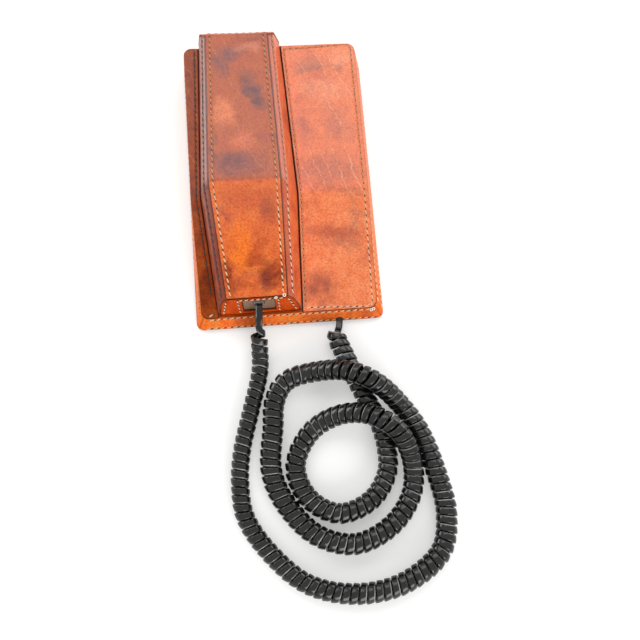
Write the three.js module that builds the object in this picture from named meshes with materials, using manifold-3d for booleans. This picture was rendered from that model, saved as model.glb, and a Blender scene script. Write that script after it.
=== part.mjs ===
// Leather-covered slim desk telephone with the dial in the handset
//
// Millimetres, +Z up, +Y to the rear. The base stands with its centre over the origin.
// The handset lies in a trough left of the middle, its back uppermost; the dial,
// the ear and mouth openings and a recall button are on its underside. A curly
// flat cord lies in three rings on the table in front.
import * as THREE from 'three';
import { mergeVertices } from 'three/addons/utils/BufferGeometryUtils.js';
import Module from 'manifold-3d';

const wasm = await Module();
wasm.setup();

// Base, measured over the leather
const baseHalfWidth = 65;
const baseHalfLength = 101;
const sideFlare = 5;
const frontFlare = 6.5;
const rearFlare = 5;
const rearDeckHeight = 30;
const frontDeckHeight = 9.5;
const creaseY = -16.5;
const cornerRadius = 5;
const skirtHeight = 2.5;
const flareStart = 3;

// Trough in the base, and the handset's top face above it: rear, bend, front
const troughRight = { rear: 7.5, bend: 11.8, front: 8.4 };
const troughLeft = { rear: -50, bend: -53.8, front: -49 };
const troughDepth = 14.3;
const troughKneeY = -45;
const troughFrontDepth = 1.5;
const handsetRight = { rear: -0.4, bend: 1.9, front: -0.2 };
const handsetLeft = { rear: -42.7, bend: -44.7, front: -41 };
const handsetRearHeight = 43.5;
const handsetBendHeight = 53;
const handsetFrontHeight = 27;
const handsetFrontRoom = 7.2;
const endFaceLean = 5.5;
const rearFaceLean = 3.6;
const chamferWidth = 4.35;
const chamferDrop = 3.5;

// Thicknesses and fits
const leather = 1.4;
const wall = 2;
const plateThickness = 1.7;
const gap = 0.3;
const handsetSideFit = 0.6;
const handsetSeat = 0.5;

// Parts in the handset, placed along Y on its centre line
const receiverFromRear = 24;
const receiverRadius = 20;
const receiverThickness = 8;
const dialY = -8;
const dialRadius = 25;
const wheelThickness = 2;
const fingerHoleRadius = 4.2;
const fingerHoles = 10;
const dialPitchDegrees = 30;
const transmitterFromFront = 27.3;
const transmitterRadius = 12;
const transmitterThickness = 7;
const buttonFromDial = 12;
const buttonRadius = 4.5;

// Parts in the base
const hookFromRear = 65;
const hookAside = 15;
const hookTravel = 4;
const plungerRadius = 3;
const gongRadius = 17.5;
const gongX = 36;
const gongFromRear = 55;
const gongSpacing = 44;
const footRadius = 6;
const footX = 50;
const footFromEnd = 25;
const baseCordX = 33.3;
const cordJackFromFront = 21;
const boardFromFront = 45;
const boardToGong = 10.5;
const postFromFront = 35;
const postFromRear = 13;
const linePortX = 17.5;

// Curly cord
const coilOuterDiameter = 13;
const cordThickness = 3;
const coilCurls = 98;
const coilLift = 6.7;
const curlSteps = 8;
const cordSides = 5;
const crossingHeight = 14.6;

// Round pieces
const roundSides = 28;
const smallSides = 12;
const cornerSteps = 4;

const deckFrontY = frontFlare - baseHalfLength;
const deckRearY = baseHalfLength - rearFlare;
const deckHalfWidth = baseHalfWidth - sideFlare;
const handsetRearY = deckRearY;
const handsetFrontY = deckFrontY + handsetFrontRoom;
const receiverY = handsetRearY - receiverFromRear;
const transmitterY = handsetFrontY + transmitterFromFront;
const buttonY = dialY + dialRadius + buttonFromDial;
const footY = baseHalfLength - footFromEnd;
const hookY = baseHalfLength - hookFromRear;
const gongMiddleY = baseHalfLength - gongFromRear;
const jackFrontY = cordJackFromFront - baseHalfLength;
const jackRearY = jackFrontY + 13;
const plugFrontY = jackFrontY - 4;
const troughFloorHeight = rearDeckHeight - troughDepth;
const troughFrontFloor = frontDeckHeight - troughFrontDepth;
const plateBottom = skirtHeight - 0.2;
const plateTop = plateBottom + plateThickness;
const shellInset = leather + gap;
const shellBottom = skirtHeight;
const cavityInset = shellInset + wall;

// Surfaces as functions of Y

function between(y, y0, v0, y1, v1) {
  return v0 + (v1 - v0) * (y - y0) / (y1 - y0);
}

function deckHeight(y) {
  if (y >= creaseY) return rearDeckHeight;
  return between(y, creaseY, rearDeckHeight, deckFrontY, frontDeckHeight);
}

function troughFloor(y) {
  if (y >= troughKneeY) return troughFloorHeight;
  return between(y, troughKneeY, troughFloorHeight, deckFrontY, troughFrontFloor);
}

// Straight runs between the rear end, the bend and the front end
function alongBase(y, edge) {
  if (y >= creaseY) return between(y, creaseY, edge.bend, deckRearY, edge.rear);
  return between(y, creaseY, edge.bend, deckFrontY, edge.front);
}

function alongHandset(y, edge) {
  if (y >= creaseY) return between(y, creaseY, edge.bend, handsetRearY, edge.rear);
  return between(y, creaseY, edge.bend, handsetFrontY, edge.front);
}

const handsetTop = { rear: handsetRearHeight, bend: handsetBendHeight, front: handsetFrontHeight };

function handsetHeight(y) {
  return alongHandset(y, handsetTop);
}

function innerFace(y) {
  return troughFloor(y) + handsetSeat;
}

function handsetMiddle(y) {
  return (alongBase(y, troughLeft) + alongBase(y, troughRight)) / 2;
}

// Building solids

function solid(geometry) {
  const bare = geometry.clone();
  for (const name of Object.keys(bare.attributes)) {
    if (name !== 'position') bare.deleteAttribute(name);
  }
  const merged = mergeVertices(bare, 1e-4);
  const vertProperties = new Float32Array(merged.attributes.position.array);
  const triVerts = new Uint32Array(merged.index.array);
  let volume = 0;
  const corner = (k) => new THREE.Vector3().fromArray(vertProperties, 3 * triVerts[k]);
  for (let t = 0; t < triVerts.length; t += 3) {
    volume += corner(t).dot(corner(t + 1).cross(corner(t + 2)));
  }
  if (volume < 0) triVerts.reverse();
  return new wasm.Manifold(new wasm.Mesh({ numProp: 3, vertProperties, triVerts }));
}

function geometryOf(manifold) {
  const { vertProperties, triVerts } = manifold.getMesh();
  const indexed = new THREE.BufferGeometry();
  indexed.setAttribute('position', new THREE.Float32BufferAttribute(vertProperties, 3));
  indexed.setIndex(Array.from(triVerts));
  const flat = indexed.toNonIndexed();
  flat.computeVertexNormals();
  return flat;
}

function unite(pieces) {
  return pieces.reduce((sum, piece) => sum.add(piece));
}

function block(x0, x1, y0, y1, z0, z1) {
  const box = new THREE.BoxGeometry(x1 - x0, y1 - y0, z1 - z0);
  return solid(box.translate((x0 + x1) / 2, (y0 + y1) / 2, (z0 + z1) / 2));
}

function disc(radius, x, y, z0, z1, sides = roundSides) {
  const cylinder = new THREE.CylinderGeometry(radius, radius, z1 - z0, sides);
  return solid(cylinder.rotateX(Math.PI / 2).translate(x, y, (z0 + z1) / 2));
}

// A profile of [radius, height] pairs turned about a vertical axis at x, y
function turned(profile, x, y, sides = roundSides) {
  const points = profile.map(([r, z]) => new THREE.Vector2(r, z));
  const body = new THREE.LatheGeometry(points, sides);
  return solid(body.rotateX(Math.PI / 2).translate(x, y, 0));
}

function extrudeOutline(outline, depth) {
  const shape = new THREE.Shape(outline.map(([u, v]) => new THREE.Vector2(u, v)));
  return new THREE.ExtrudeGeometry(shape, { depth, bevelEnabled: false });
}

// An outline of [y, z] pairs carried along X
function prismX(outline, x0, x1) {
  const turn = new THREE.Matrix4().makeBasis(
    new THREE.Vector3(0, 1, 0), new THREE.Vector3(0, 0, 1), new THREE.Vector3(1, 0, 0));
  return solid(extrudeOutline(outline, x1 - x0).applyMatrix4(turn).translate(x0, 0, 0));
}

// An outline of [x, y] pairs carried along Z
function prismZ(outline, z0, z1) {
  return solid(extrudeOutline(outline, z1 - z0).translate(0, 0, z0));
}

// Every edge of a counterclockwise outline moved inwards by its own distance
function inset(outline, distances) {
  const count = outline.length;
  const edges = outline.map(([u, v], i) => {
    const [un, vn] = outline[(i + 1) % count];
    const run = Math.hypot(un - u, vn - v);
    const step = Array.isArray(distances) ? distances[i] : distances;
    return { u: u - step * (vn - v) / run, v: v + step * (un - u) / run, du: un - u, dv: vn - v };
  });
  return edges.map((edge, i) => {
    const last = edges[(i + count - 1) % count];
    const cross = last.du * edge.dv - last.dv * edge.du;
    if (Math.abs(cross) < 1e-9) return [edge.u, edge.v];
    const along = ((edge.u - last.u) * edge.dv - (edge.v - last.v) * edge.du) / cross;
    return [last.u + along * last.du, last.v + along * last.dv];
  });
}

// Rings with the same count of points joined into one closed body. Each ring runs up
// one side and back down the other, so that strips across it close the two ends.
function ringSolid(rings) {
  const count = rings[0].length;
  const points = rings.flat();
  const index = [];
  const quad = (a, b, c, d) => index.push(a, b, c, a, c, d);
  for (let r = 0; r + 1 < rings.length; r++) {
    for (let i = 0; i < count; i++) {
      const next = (i + 1) % count;
      quad(r * count + i, r * count + next, (r + 1) * count + next, (r + 1) * count + i);
    }
  }
  const top = (rings.length - 1) * count;
  for (let i = 0; i + 1 < count / 2; i++) {
    quad(top + i, top + i + 1, top + count - 2 - i, top + count - 1 - i);
    quad(count - 1 - i, count - 2 - i, i + 1, i);
  }
  const geometry = new THREE.BufferGeometry();
  geometry.setAttribute('position', new THREE.Float32BufferAttribute(points.flat(), 3));
  geometry.setIndex(index);
  return solid(geometry);
}

const model = new THREE.Group();

function addPiece(name, piece, look) {
  const geometry = piece.isBufferGeometry ? piece : geometryOf(piece);
  const mesh = new THREE.Mesh(geometry, new THREE.MeshStandardMaterial(look));
  mesh.name = name;
  model.add(mesh);
  return mesh;
}

const looks = {
  leather: { color: 0xc06a3c, roughness: 0.42, metalness: 0 },
  darkPlastic: { color: 0x33211a, roughness: 0.5, metalness: 0 },
  ivoryPlastic: { color: 0xd9cdb2, roughness: 0.35, metalness: 0 },
  clearPlastic: { color: 0xe6ebe8, roughness: 0.1, metalness: 0 },
  blackRubber: { color: 0x1b1b1a, roughness: 0.8, metalness: 0 },
  cordPlastic: { color: 0x26282a, roughness: 0.35, metalness: 0 },
  greyPlate: { color: 0x75706a, roughness: 0.4, metalness: 0 },
  steel: { color: 0x9aa0a3, roughness: 0.35, metalness: 1 },
  brass: { color: 0xb08d4a, roughness: 0.3, metalness: 1 },
  copper: { color: 0x8a4a26, roughness: 0.5, metalness: 0.6 },
  board: { color: 0x5c4a24, roughness: 0.6, metalness: 0 },
  capsule: { color: 0x2b2b2b, roughness: 0.5, metalness: 0.3 },
};

// Base: outer form

// Right-hand half of the base's plan outline, from the front to the rear
function deckChain(less) {
  const halfWidth = deckHalfWidth - less;
  const front = deckFrontY + less;
  const rear = deckRearY - less;
  const radius = Math.max(cornerRadius - less, 1);
  const chain = [];
  for (let i = 0; i <= cornerSteps; i++) {
    const a = (i / cornerSteps - 1) * Math.PI / 2;
    chain.push([halfWidth - radius + radius * Math.cos(a), front + radius + radius * Math.sin(a)]);
  }
  const slopeSteps = 4;
  for (let i = 1; i <= slopeSteps; i++) {
    chain.push([halfWidth, between(i, 0, front + radius, slopeSteps, creaseY)]);
  }
  for (let i = 0; i <= cornerSteps; i++) {
    const a = (i / cornerSteps) * Math.PI / 2;
    chain.push([halfWidth - radius + radius * Math.cos(a), rear - radius + radius * Math.sin(a)]);
  }
  return chain;
}

function mirrorChain(chain) {
  return [...chain, ...chain.toReversed().map(([x, y, z]) => [-x, y, z])];
}

// The flared body: upright up to the start of the flare, then leaning in to the deck
function baseBody(less, bottom) {
  const deck = deckChain(less);
  const spread = (baseHalfWidth - less) / (deckHalfWidth - less);
  const frontFoot = less - baseHalfLength;
  const rearFoot = baseHalfLength - less;
  const foot = deck.map(([x, y]) => [
    x * spread, between(y, deckFrontY + less, frontFoot, deckRearY - less, rearFoot)]);
  return ringSolid([
    mirrorChain(foot.map(([x, y]) => [x, y, bottom])),
    mirrorChain(foot.map(([x, y]) => [x, y, flareStart])),
    mirrorChain(deck.map(([x, y]) => [x, y, deckHeight(y) - less])),
  ]);
}

const beyond = 40;
const farFront = -baseHalfLength - beyond;
const farRear = baseHalfLength + beyond;
const high = handsetBendHeight + beyond;

// Everything above the deck, lowered by a depth
function aboveDeck(depth) {
  return prismX([
    [farFront, deckHeight(farFront) - depth], [creaseY, rearDeckHeight - depth],
    [farRear, rearDeckHeight - depth], [farRear, high], [farFront, high]], -beyond * 3, beyond * 3);
}

function troughPlan(extra, yFront, yRear) {
  const corner = (y, edge, side) => [alongBase(y, edge) + side * extra, y];
  return [
    corner(yFront, troughLeft, -1), corner(yFront, troughRight, 1), corner(creaseY, troughRight, 1),
    corner(yRear, troughRight, 1), corner(yRear, troughLeft, -1), corner(creaseY, troughLeft, -1)];
}

// The trough's space, or with extra width and depth the block that its walls are cut from
function troughSpace(extra, deeper, yFront) {
  const plan = prismZ(troughPlan(extra, yFront, farRear), -beyond, high);
  const floor = prismX([
    [farFront, troughFloor(farFront) - deeper], [troughKneeY, troughFloorHeight - deeper],
    [farRear, troughFloorHeight - deeper], [farRear, high], [farFront, high]], -beyond * 3, beyond * 3);
  return plan.intersect(floor);
}

const bandTop = deckFrontY + leather;
const trough = troughSpace(0, 0, bandTop);
const troughThrough = troughSpace(0, 0, farFront);
const baseMiddle = handsetMiddle(creaseY);

// Screw posts stand in the corners of the base, clear of the trough
const postRadius = 4;
const screwRadius = 1.5;
const postFrontY = postFromFront - baseHalfLength;
const postRearY = baseHalfLength - postFromRear;
const screwPlaces = [
  ['front_right', deckHalfWidth - cavityInset - postRadius, postFrontY],
  ['rear_right', deckHalfWidth - cavityInset - postRadius, postRearY],
  ['front_left', handsetMiddle(postFrontY), postFrontY],
  ['rear_left', handsetMiddle(postRearY), postRearY],
];

const cordNotchHalf = cordThickness / 2 + 1.2;
const cordEntryHeight = 4.6;
const hookX = handsetMiddle(hookY) - hookAside;
const plungerHole = disc(plungerRadius + gap, hookX, hookY, 0, high, smallSides);
const linePort = { halfWidth: 6.5, bottom: 5.4, top: 15.4, sunk: 3.2, depth: 12 };

// Openings through the front and the rear wall, for the cord and for the line inlet
const cordSlot = block(baseCordX - cordNotchHalf, baseCordX + cordNotchHalf, farFront, jackFrontY,
  -1, cordEntryHeight + cordThickness / 2 + 0.4);
const portSlot = block(linePortX - linePort.halfWidth - gap, linePortX + linePort.halfWidth + gap,
  baseHalfLength - linePort.sunk - linePort.depth - 1, farRear, linePort.bottom - gap, linePort.top + gap);

function buildShell() {
  const cavity = baseBody(cavityInset, -beyond).subtract(troughSpace(wall, wall, farFront));
  let shell = baseBody(shellInset, shellBottom).subtract(cavity).subtract(troughThrough);
  const roof = baseBody(shellInset + gap, -beyond).subtract(troughThrough);
  for (const [, x, y] of screwPlaces) {
    const post = disc(postRadius, x, y, plateTop + gap, high, smallSides).intersect(roof);
    const bore = disc(screwRadius + gap / 2, x, y, 0, plateTop + 5.5, smallSides);
    shell = shell.add(post).subtract(bore);
  }
  return shell.subtract(cordSlot).subtract(portSlot).subtract(plungerHole);
}

function buildBaseLeathers() {
  const outer = baseBody(0, skirtHeight);
  const deck = outer.intersect(aboveDeck(leather))
    .subtract(prismZ(troughPlan(0, farFront, farRear), -beyond, high));
  const cutter = aboveDeck(leather + gap)
    .subtract(prismZ(troughPlan(-gap, farFront, farRear), -beyond, high));
  const walls = outer.subtract(baseBody(leather, -beyond)).subtract(cutter).subtract(trough);
  const cornerX = baseHalfWidth - cornerRadius;
  const cornerY = baseHalfLength - cornerRadius;
  const inner = 20;
  const outerStep = 60;
  const frontRegion = [
    [-cornerX - outerStep, -cornerY - outerStep], [cornerX + outerStep, -cornerY - outerStep],
    [cornerX - inner, inner - cornerY], [inner - cornerX, inner - cornerY]];
  const rightRegion = [
    [cornerX - inner, inner - cornerY], [cornerX + outerStep, -cornerY - outerStep],
    [cornerX + outerStep, cornerY + outerStep], [cornerX - inner, cornerY - inner]];
  const mirrorY = (region) => region.map(([x, y]) => [x, -y]).reverse();
  const mirrorX = (region) => region.map(([x, y]) => [-x, y]).reverse();
  const part = (region) => walls.intersect(prismZ(inset(region, gap / 2), -beyond, high));
  addPiece('deck_leather', deck.intersect(block(baseMiddle, 99, farFront, farRear, 0, high)), looks.leather);
  addPiece('left_strip_leather', deck.intersect(block(-99, baseMiddle, farFront, farRear, 0, high)),
    looks.leather);
  addPiece('front_leather', part(frontRegion).subtract(cordSlot), looks.leather);
  addPiece('rear_leather', part(mirrorY(frontRegion)).subtract(portSlot), looks.leather);
  addPiece('right_leather', part(rightRegion), looks.leather);
  addPiece('left_leather', part(mirrorX(rightRegion)), looks.leather);
}

function buildBasePlate() {
  let plate = baseBody(cavityInset + gap, plateBottom)
    .intersect(block(-99, 99, farFront, farRear, plateBottom, plateTop));
  for (const [, x, y] of screwPlaces) {
    plate = plate.subtract(disc(screwRadius + gap, x, y, 0, high, smallSides));
  }
  for (const [, x, y] of footPlaces) {
    plate = plate.subtract(disc(footStem + gap, x, y, 0, high, smallSides));
  }
  for (const [x, y] of boardPosts) {
    plate = plate.add(disc(2, x, y, plateBottom + 0.5, boardBottom - gap, smallSides));
  }
  const jackWindow = block(baseCordX - jackHalf - gap, baseCordX + jackHalf + gap,
    farFront, jackRearY + gap, 0, high);
  return plate.subtract(jackWindow);
}

const footStem = 2.4;
const footPlaces = [
  ['front_right', footX, -footY], ['front_left', -footX, -footY],
  ['rear_right', footX, footY], ['rear_left', -footX, footY],
];
const boardBottom = 6;
const boardThickness = 1.5;
const boardX = [17, 54];
const boardY = [boardFromFront - baseHalfLength,
  gongMiddleY - gongSpacing / 2 - gongRadius - boardToGong];
const boardPostInset = 6;
const boardPosts = [boardY[0] + boardPostInset, boardY[1] - boardPostInset]
  .flatMap((y) => [[boardX[0] + 4, y], [boardX[1] - 4, y]]);
const jackHalf = 6;
const plugHalf = 3.6;

function buildFeetAndScrews() {
  for (const [place, x, y] of footPlaces) {
    const foot = turned([
      [0, 0], [footRadius - 0.8, 0], [footRadius, 0.8], [footRadius, plateBottom - gap],
      [footStem, plateBottom - gap], [footStem, plateTop - gap], [0, plateTop - gap]], x, y, 20);
    addPiece(`foot_${place}`, foot, looks.blackRubber);
  }
  for (const [place, x, y] of screwPlaces) {
    const headBottom = plateBottom - 1.6;
    const screw = turned([
      [0, headBottom], [2.4, headBottom], [2.8, headBottom + 0.5], [2.8, plateBottom - gap],
      [screwRadius, plateBottom - gap], [screwRadius, plateTop + 5], [0, plateTop + 5]],
    x, y, smallSides);
    addPiece(`plate_screw_${place}`, screw, looks.steel);
  }
}

// Base: works under the deck

function buildRinger() {
  const low = plateTop + gap;
  const frameTop = low + 1.2;
  const gongBottom = frameTop + 2.6;
  const gongHeight = 11;
  const frameY = [gongMiddleY - gongSpacing / 2 - 8, gongMiddleY + gongSpacing / 2 + 8];
  let frame = block(gongX - 19, gongX + 12, frameY[0], frameY[1], low, frameTop);
  frame = frame.add(block(-14, gongX, gongMiddleY - 12, gongMiddleY + 12, low, frameTop));
  const gongs = { front: gongMiddleY - gongSpacing / 2, rear: gongMiddleY + gongSpacing / 2 };
  for (const y of Object.values(gongs)) {
    frame = frame.add(disc(3.4, gongX, y, frameTop - 0.4, gongBottom + gongHeight - 2.4, smallSides));
  }
  const pinX = 19;
  frame = frame.add(disc(1.2, pinX, gongMiddleY, frameTop - 0.4, frameTop + 6.4, smallSides));
  frame = frame.add(block(-14, -12.5, gongMiddleY - 9, gongMiddleY + 9, low, frameTop + 6));
  addPiece('ringer_frame', frame, looks.steel);

  for (const [place, y] of Object.entries(gongs)) {
    const rise = gongBottom;
    const wallThin = 1;
    const gong = turned([
      [1.8, rise + gongHeight], [8, rise + gongHeight], [13.5, rise + gongHeight - 1.6],
      [16.6, rise + gongHeight - 4.6], [gongRadius, rise + 4], [gongRadius, rise],
      [gongRadius - wallThin, rise], [gongRadius - wallThin, rise + 4],
      [15.7, rise + gongHeight - 5.2], [13, rise + gongHeight - 2.5],
      [7.8, rise + gongHeight - wallThin], [1.8, rise + gongHeight - wallThin],
      [1.8, rise + gongHeight]], gongX, y);
    addPiece(`gong_${place}`, gong, looks.brass);
    const top = rise + gongHeight + gap;
    const bolt = turned([
      [0, rise + gongHeight - 2.1], [1.5, rise + gongHeight - 2.1], [1.5, top], [3.2, top],
      [3.2, top + 1.2], [2.6, top + 1.7], [0, top + 1.7]], gongX, y, smallSides);
    addPiece(`gong_screw_${place}`, bolt, looks.steel);
  }

  // Bobbin on its side, with a cheek at each end
  const ceiling = troughFloorHeight - wall - gap;
  const coilZ = (frameTop + gap + ceiling) / 2;
  const coilRadius = ceiling - coilZ - gap;
  const bobbin = (radius, x0, x1) => {
    const drum = new THREE.CylinderGeometry(radius, radius, x1 - x0, 20);
    return solid(drum.rotateZ(Math.PI / 2).translate((x0 + x1) / 2, gongMiddleY, coilZ));
  };
  const cheeks = [-12.1, 11.1].map((x) => block(x, x + 1, gongMiddleY - 5, gongMiddleY + 5,
    frameTop + gap, ceiling));
  addPiece('ringer_coil', unite([bobbin(coilRadius, -12, 12), ...cheeks]), looks.copper);

  // Clapper: a rocking arm on the pin, with the ball between the gong rims
  const armZ = frameTop + 3.8;
  const arm = unite([
    turned([[1.5, armZ - 1.4], [3, armZ - 1.4], [3, armZ + 1.4], [1.5, armZ + 1.4],
      [1.5, armZ - 1.4]], pinX, gongMiddleY, smallSides),
    block(pinX + 2.2, gongX - 0.5, gongMiddleY - 0.7, gongMiddleY + 0.7, armZ - 0.7, armZ + 0.7),
    turned([[0, armZ - 2.3], [1.6, armZ - 1.7], [2.3, armZ], [1.6, armZ + 1.7], [0, armZ + 2.3]],
      gongX, gongMiddleY, smallSides),
    block(pinX - 5.6, pinX - 2.2, gongMiddleY - 2.6, gongMiddleY + 2.6, armZ - 1.2, armZ + 1.2)]);
  addPiece('clapper', arm, looks.steel);
}

function buildCircuit() {
  const top = boardBottom + boardThickness;
  addPiece('network_board', block(boardX[0], boardX[1], boardY[0], boardY[1], boardBottom, top),
    looks.board);
  const coreX = [20, 38];
  const coreY = [boardY[1] - 20, boardY[1] - 4];
  const core = block(coreX[0], coreX[1], coreY[0], coreY[1], top + gap, top + 11);
  const winding = block(coreX[0] + 3, coreX[1] - 3, coreY[0] - 2.5, coreY[1] + 2.5,
    top + 1.2, top + 9.6);
  addPiece('transformer', core.add(winding), looks.capsule);
  const can = new THREE.CylinderGeometry(3.6, 3.6, 19, 18)
    .translate(boardX[1] - 7.5, boardY[1] - 17, top + gap + 3.6);
  addPiece('capacitor', solid(can), looks.ivoryPlastic);
}

function buildHookSwitch() {
  const bottom = plateTop + gap;
  const top = troughFloorHeight - wall - gap;
  const bore = disc(plungerRadius + 1.6 + gap, hookX, hookY, bottom + 1, high, smallSides);
  const body = block(hookX - 11, hookX + 11, hookY - 8, hookY + 8, bottom, top).subtract(bore);
  addPiece('hook_switch', body, looks.darkPlastic);
  const flange = bottom + 1 + gap;
  const tip = troughFloorHeight + handsetSeat - gap;
  const plunger = turned([
    [0, flange], [plungerRadius + 1.6, flange], [plungerRadius + 1.6, flange + 1.2],
    [plungerRadius, flange + 1.2], [plungerRadius, tip - 0.6], [plungerRadius - 0.6, tip], [0, tip]],
  hookX, hookY, smallSides);
  addPiece('hook_plunger', plunger, looks.ivoryPlastic);
}

function buildBaseJacks() {
  // Socket for the handset cord, in a window of the base plate
  const low = plateBottom + 0.2;
  const socketTop = cordEntryHeight + plugHalf + 1.4;
  const socket = block(baseCordX - jackHalf, baseCordX + jackHalf, jackFrontY, jackRearY, low, socketTop)
    .subtract(block(baseCordX - plugHalf - gap, baseCordX + plugHalf + gap, jackFrontY - 1,
      jackRearY - 1.5, low - 1, cordEntryHeight + 2.5 + gap));
  addPiece('base_cord_jack', socket, looks.darkPlastic);
  const plug = block(baseCordX - plugHalf, baseCordX + plugHalf, plugFrontY, jackRearY - 2,
    cordEntryHeight - 1.9, cordEntryHeight + 2.5)
    .subtract(block(baseCordX - 2, baseCordX + 2, jackRearY - 8, jackRearY, 0, cordEntryHeight - 1));
  addPiece('base_cord_plug', plug, looks.clearPlastic);

  // Wall-line inlet, sunk in the rear wall
  const rear = baseHalfLength - linePort.sunk;
  const inlet = block(linePortX - linePort.halfWidth, linePortX + linePort.halfWidth,
    rear - linePort.depth, rear, linePort.bottom, linePort.top)
    .subtract(block(linePortX - 3.4, linePortX + 3.4, rear - linePort.depth + 1.5, rear + 1,
      linePort.bottom + 1.6, linePort.top - 1.8));
  addPiece('line_jack', inlet, looks.darkPlastic);
}

// Handset: outer form

// How far a cutter for a hollow that is open at the inner face reaches below it
const openingDepth = 10;

function handsetSection(y, less, openBelow) {
  const left = alongBase(y, troughLeft) + handsetSideFit;
  const right = alongBase(y, troughRight) - handsetSideFit;
  const low = innerFace(y) - (openBelow ? openingDepth : 0);
  const edge = 1.5;
  const waist = Math.max(deckHeight(y), innerFace(y) + edge + 2.8);
  const top = handsetHeight(y);
  const topLeft = alongHandset(y, handsetLeft);
  const topRight = alongHandset(y, handsetRight);
  const outline = [
    [right - edge, low], [right, low + edge], [right, waist],
    [topRight + chamferWidth, top - chamferDrop], [topRight, top],
    [topLeft, top], [topLeft - chamferWidth, top - chamferDrop],
    [left, waist], [left, low + edge], [left + edge, low]];
  const steps = outline.map((_, i) => (i === outline.length - 1 ? 0 : less));
  return inset(outline, steps).map(([x, z]) => [x, y, z]);
}

// Side view that trims the two ends: rear face, rear chamfer, leaning front end face.
// The lines run on past the back and the inner face, which the sections give.
function handsetTrim(less) {
  const toeY = handsetFrontY - endFaceLean;
  const rise = handsetFrontHeight - innerFace(toeY);
  const outline = [
    [toeY - endFaceLean, handsetFrontHeight - 2 * rise], [handsetRearY + rearFaceLean, -beyond],
    [handsetRearY + rearFaceLean, handsetRearHeight - chamferDrop],
    [handsetRearY - 5 * rearFaceLean, handsetRearHeight + 5 * chamferDrop],
    [handsetFrontY + 2 * endFaceLean, handsetFrontHeight + 2 * rise]];
  return inset(outline, [0, less, less, 0, less]);
}

function handsetBody(less, openBelow = false) {
  const stations = [handsetRearY + 8, creaseY, troughKneeY, -75, handsetFrontY - 8];
  const rings = stations.map((y) => handsetSection(y, less, openBelow));
  return ringSolid(rings).intersect(prismX(handsetTrim(less), -99, 99));
}

// The handset's end face as a tilted frame: X across, Y up the face, Z outwards
const endFoot = new THREE.Vector3(0, handsetFrontY - endFaceLean,
  innerFace(handsetFrontY - endFaceLean));
const endHead = new THREE.Vector3(0, handsetFrontY, handsetFrontHeight);
const endUp = endHead.clone().sub(endFoot).normalize();
const endOut = new THREE.Vector3(1, 0, 0).cross(endUp);
const endMiddleX = handsetMiddle(handsetFrontY);
const endCentre = endFoot.clone().lerp(endHead, 0.5).setX(endMiddleX);
const endFrame = new THREE.Matrix4()
  .makeBasis(new THREE.Vector3(1, 0, 0), endUp, endOut).setPosition(endCentre);

function endBlock(halfWidth, v0, v1, w0, w1) {
  const box = new THREE.BoxGeometry(2 * halfWidth, v1 - v0, w1 - w0);
  return solid(box.translate(0, (v0 + v1) / 2, (w0 + w1) / 2).applyMatrix4(endFrame));
}

const coverThickness = 2.2;
const endHalfRise = endHead.distanceTo(endFoot) / 2;
const endPlate = { halfWidth: 10.8, low: 2.7 - endHalfRise, high: endHalfRise - 4.3, sunk: 1.9, thick: 1.4 };

function buildHandsetLeathers() {
  const skin = handsetBody(0).subtract(handsetBody(leather, true));
  const edgeAt = (y, edge, side) => [alongHandset(y, edge), y + side];
  const topPlan = (out) => inset([
    edgeAt(handsetFrontY, handsetLeft, 0), edgeAt(handsetFrontY, handsetRight, 0),
    edgeAt(creaseY, handsetRight, 0), edgeAt(handsetRearY, handsetRight, 0),
    edgeAt(handsetRearY, handsetLeft, 0), edgeAt(creaseY, handsetLeft, 0)], -out);
  const [foot, , , , head] = handsetTrim(0);
  const [innerFoot, , , , innerHead] = handsetTrim(leather);
  const endSlab = (more) => prismX(inset([foot, innerFoot, innerHead, head], -more), -99, 99);
  const rearSlab = (more) => block(-99, 99, handsetRearY - more, farRear, 0, high);
  const top = skin.intersect(prismZ(topPlan(0), 0, high)).subtract(endSlab(0)).subtract(rearSlab(0));
  addPiece('handset_top_leather', top, looks.leather);
  const rest = skin.subtract(prismZ(topPlan(gap), 0, high));
  const sides = rest.subtract(endSlab(gap)).subtract(rearSlab(gap));
  addPiece('handset_right_leather', sides.intersect(block(baseMiddle, 99, farFront, farRear, 0, high)),
    looks.leather);
  addPiece('handset_left_leather', sides.intersect(block(-99, baseMiddle, farFront, farRear, 0, high)),
    looks.leather);
  addPiece('handset_rear_leather', rest.intersect(rearSlab(-gap / 2)), looks.leather);
  const window = endBlock(endPlate.halfWidth + gap, endPlate.low - gap, endPlate.high + gap, -9, 9);
  addPiece('handset_end_leather', rest.intersect(endSlab(-0.01)).subtract(window), looks.leather);
}

const wellRadius = dialRadius + 0.7;
const wellFloor = innerFace(dialY) + 8;
const coverScrews = [
  ['front', (dialY - wellRadius + transmitterY + transmitterRadius) / 2],
  ['rear', (buttonY + buttonRadius + 1.5 + receiverY - receiverRadius - 2) / 2]];
const screwHeadRadius = 2.6;

function buildHandsetShell() {
  let shell = handsetBody(shellInset).subtract(handsetBody(cavityInset, true));
  const roof = handsetBody(shellInset + gap);
  for (const [, y] of coverScrews) {
    const x = handsetMiddle(y);
    const post = disc(2.6, x, y, innerFace(y) + coverThickness + 3, high, smallSides).intersect(roof);
    const bore = disc(screwRadius, x, y, 0, innerFace(y) + 12, smallSides);
    shell = shell.add(post).subtract(bore);
  }
  const window = endBlock(endPlate.halfWidth + gap, endPlate.low - gap, endPlate.high + gap, -9, 9);
  const ledge = endBlock(endPlate.halfWidth - 1.6, endPlate.low - 3, endPlate.high + 3,
    -endPlate.sunk - endPlate.thick - 3, -endPlate.sunk - endPlate.thick - gap);
  const aboveCover = block(-99, 99, farFront, farRear, jackZ - plugHalfHeight - jackWall, high);
  return shell.subtract(window).add(ledge.intersect(roof).intersect(aboveCover).subtract(jackRoom));
}

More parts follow.
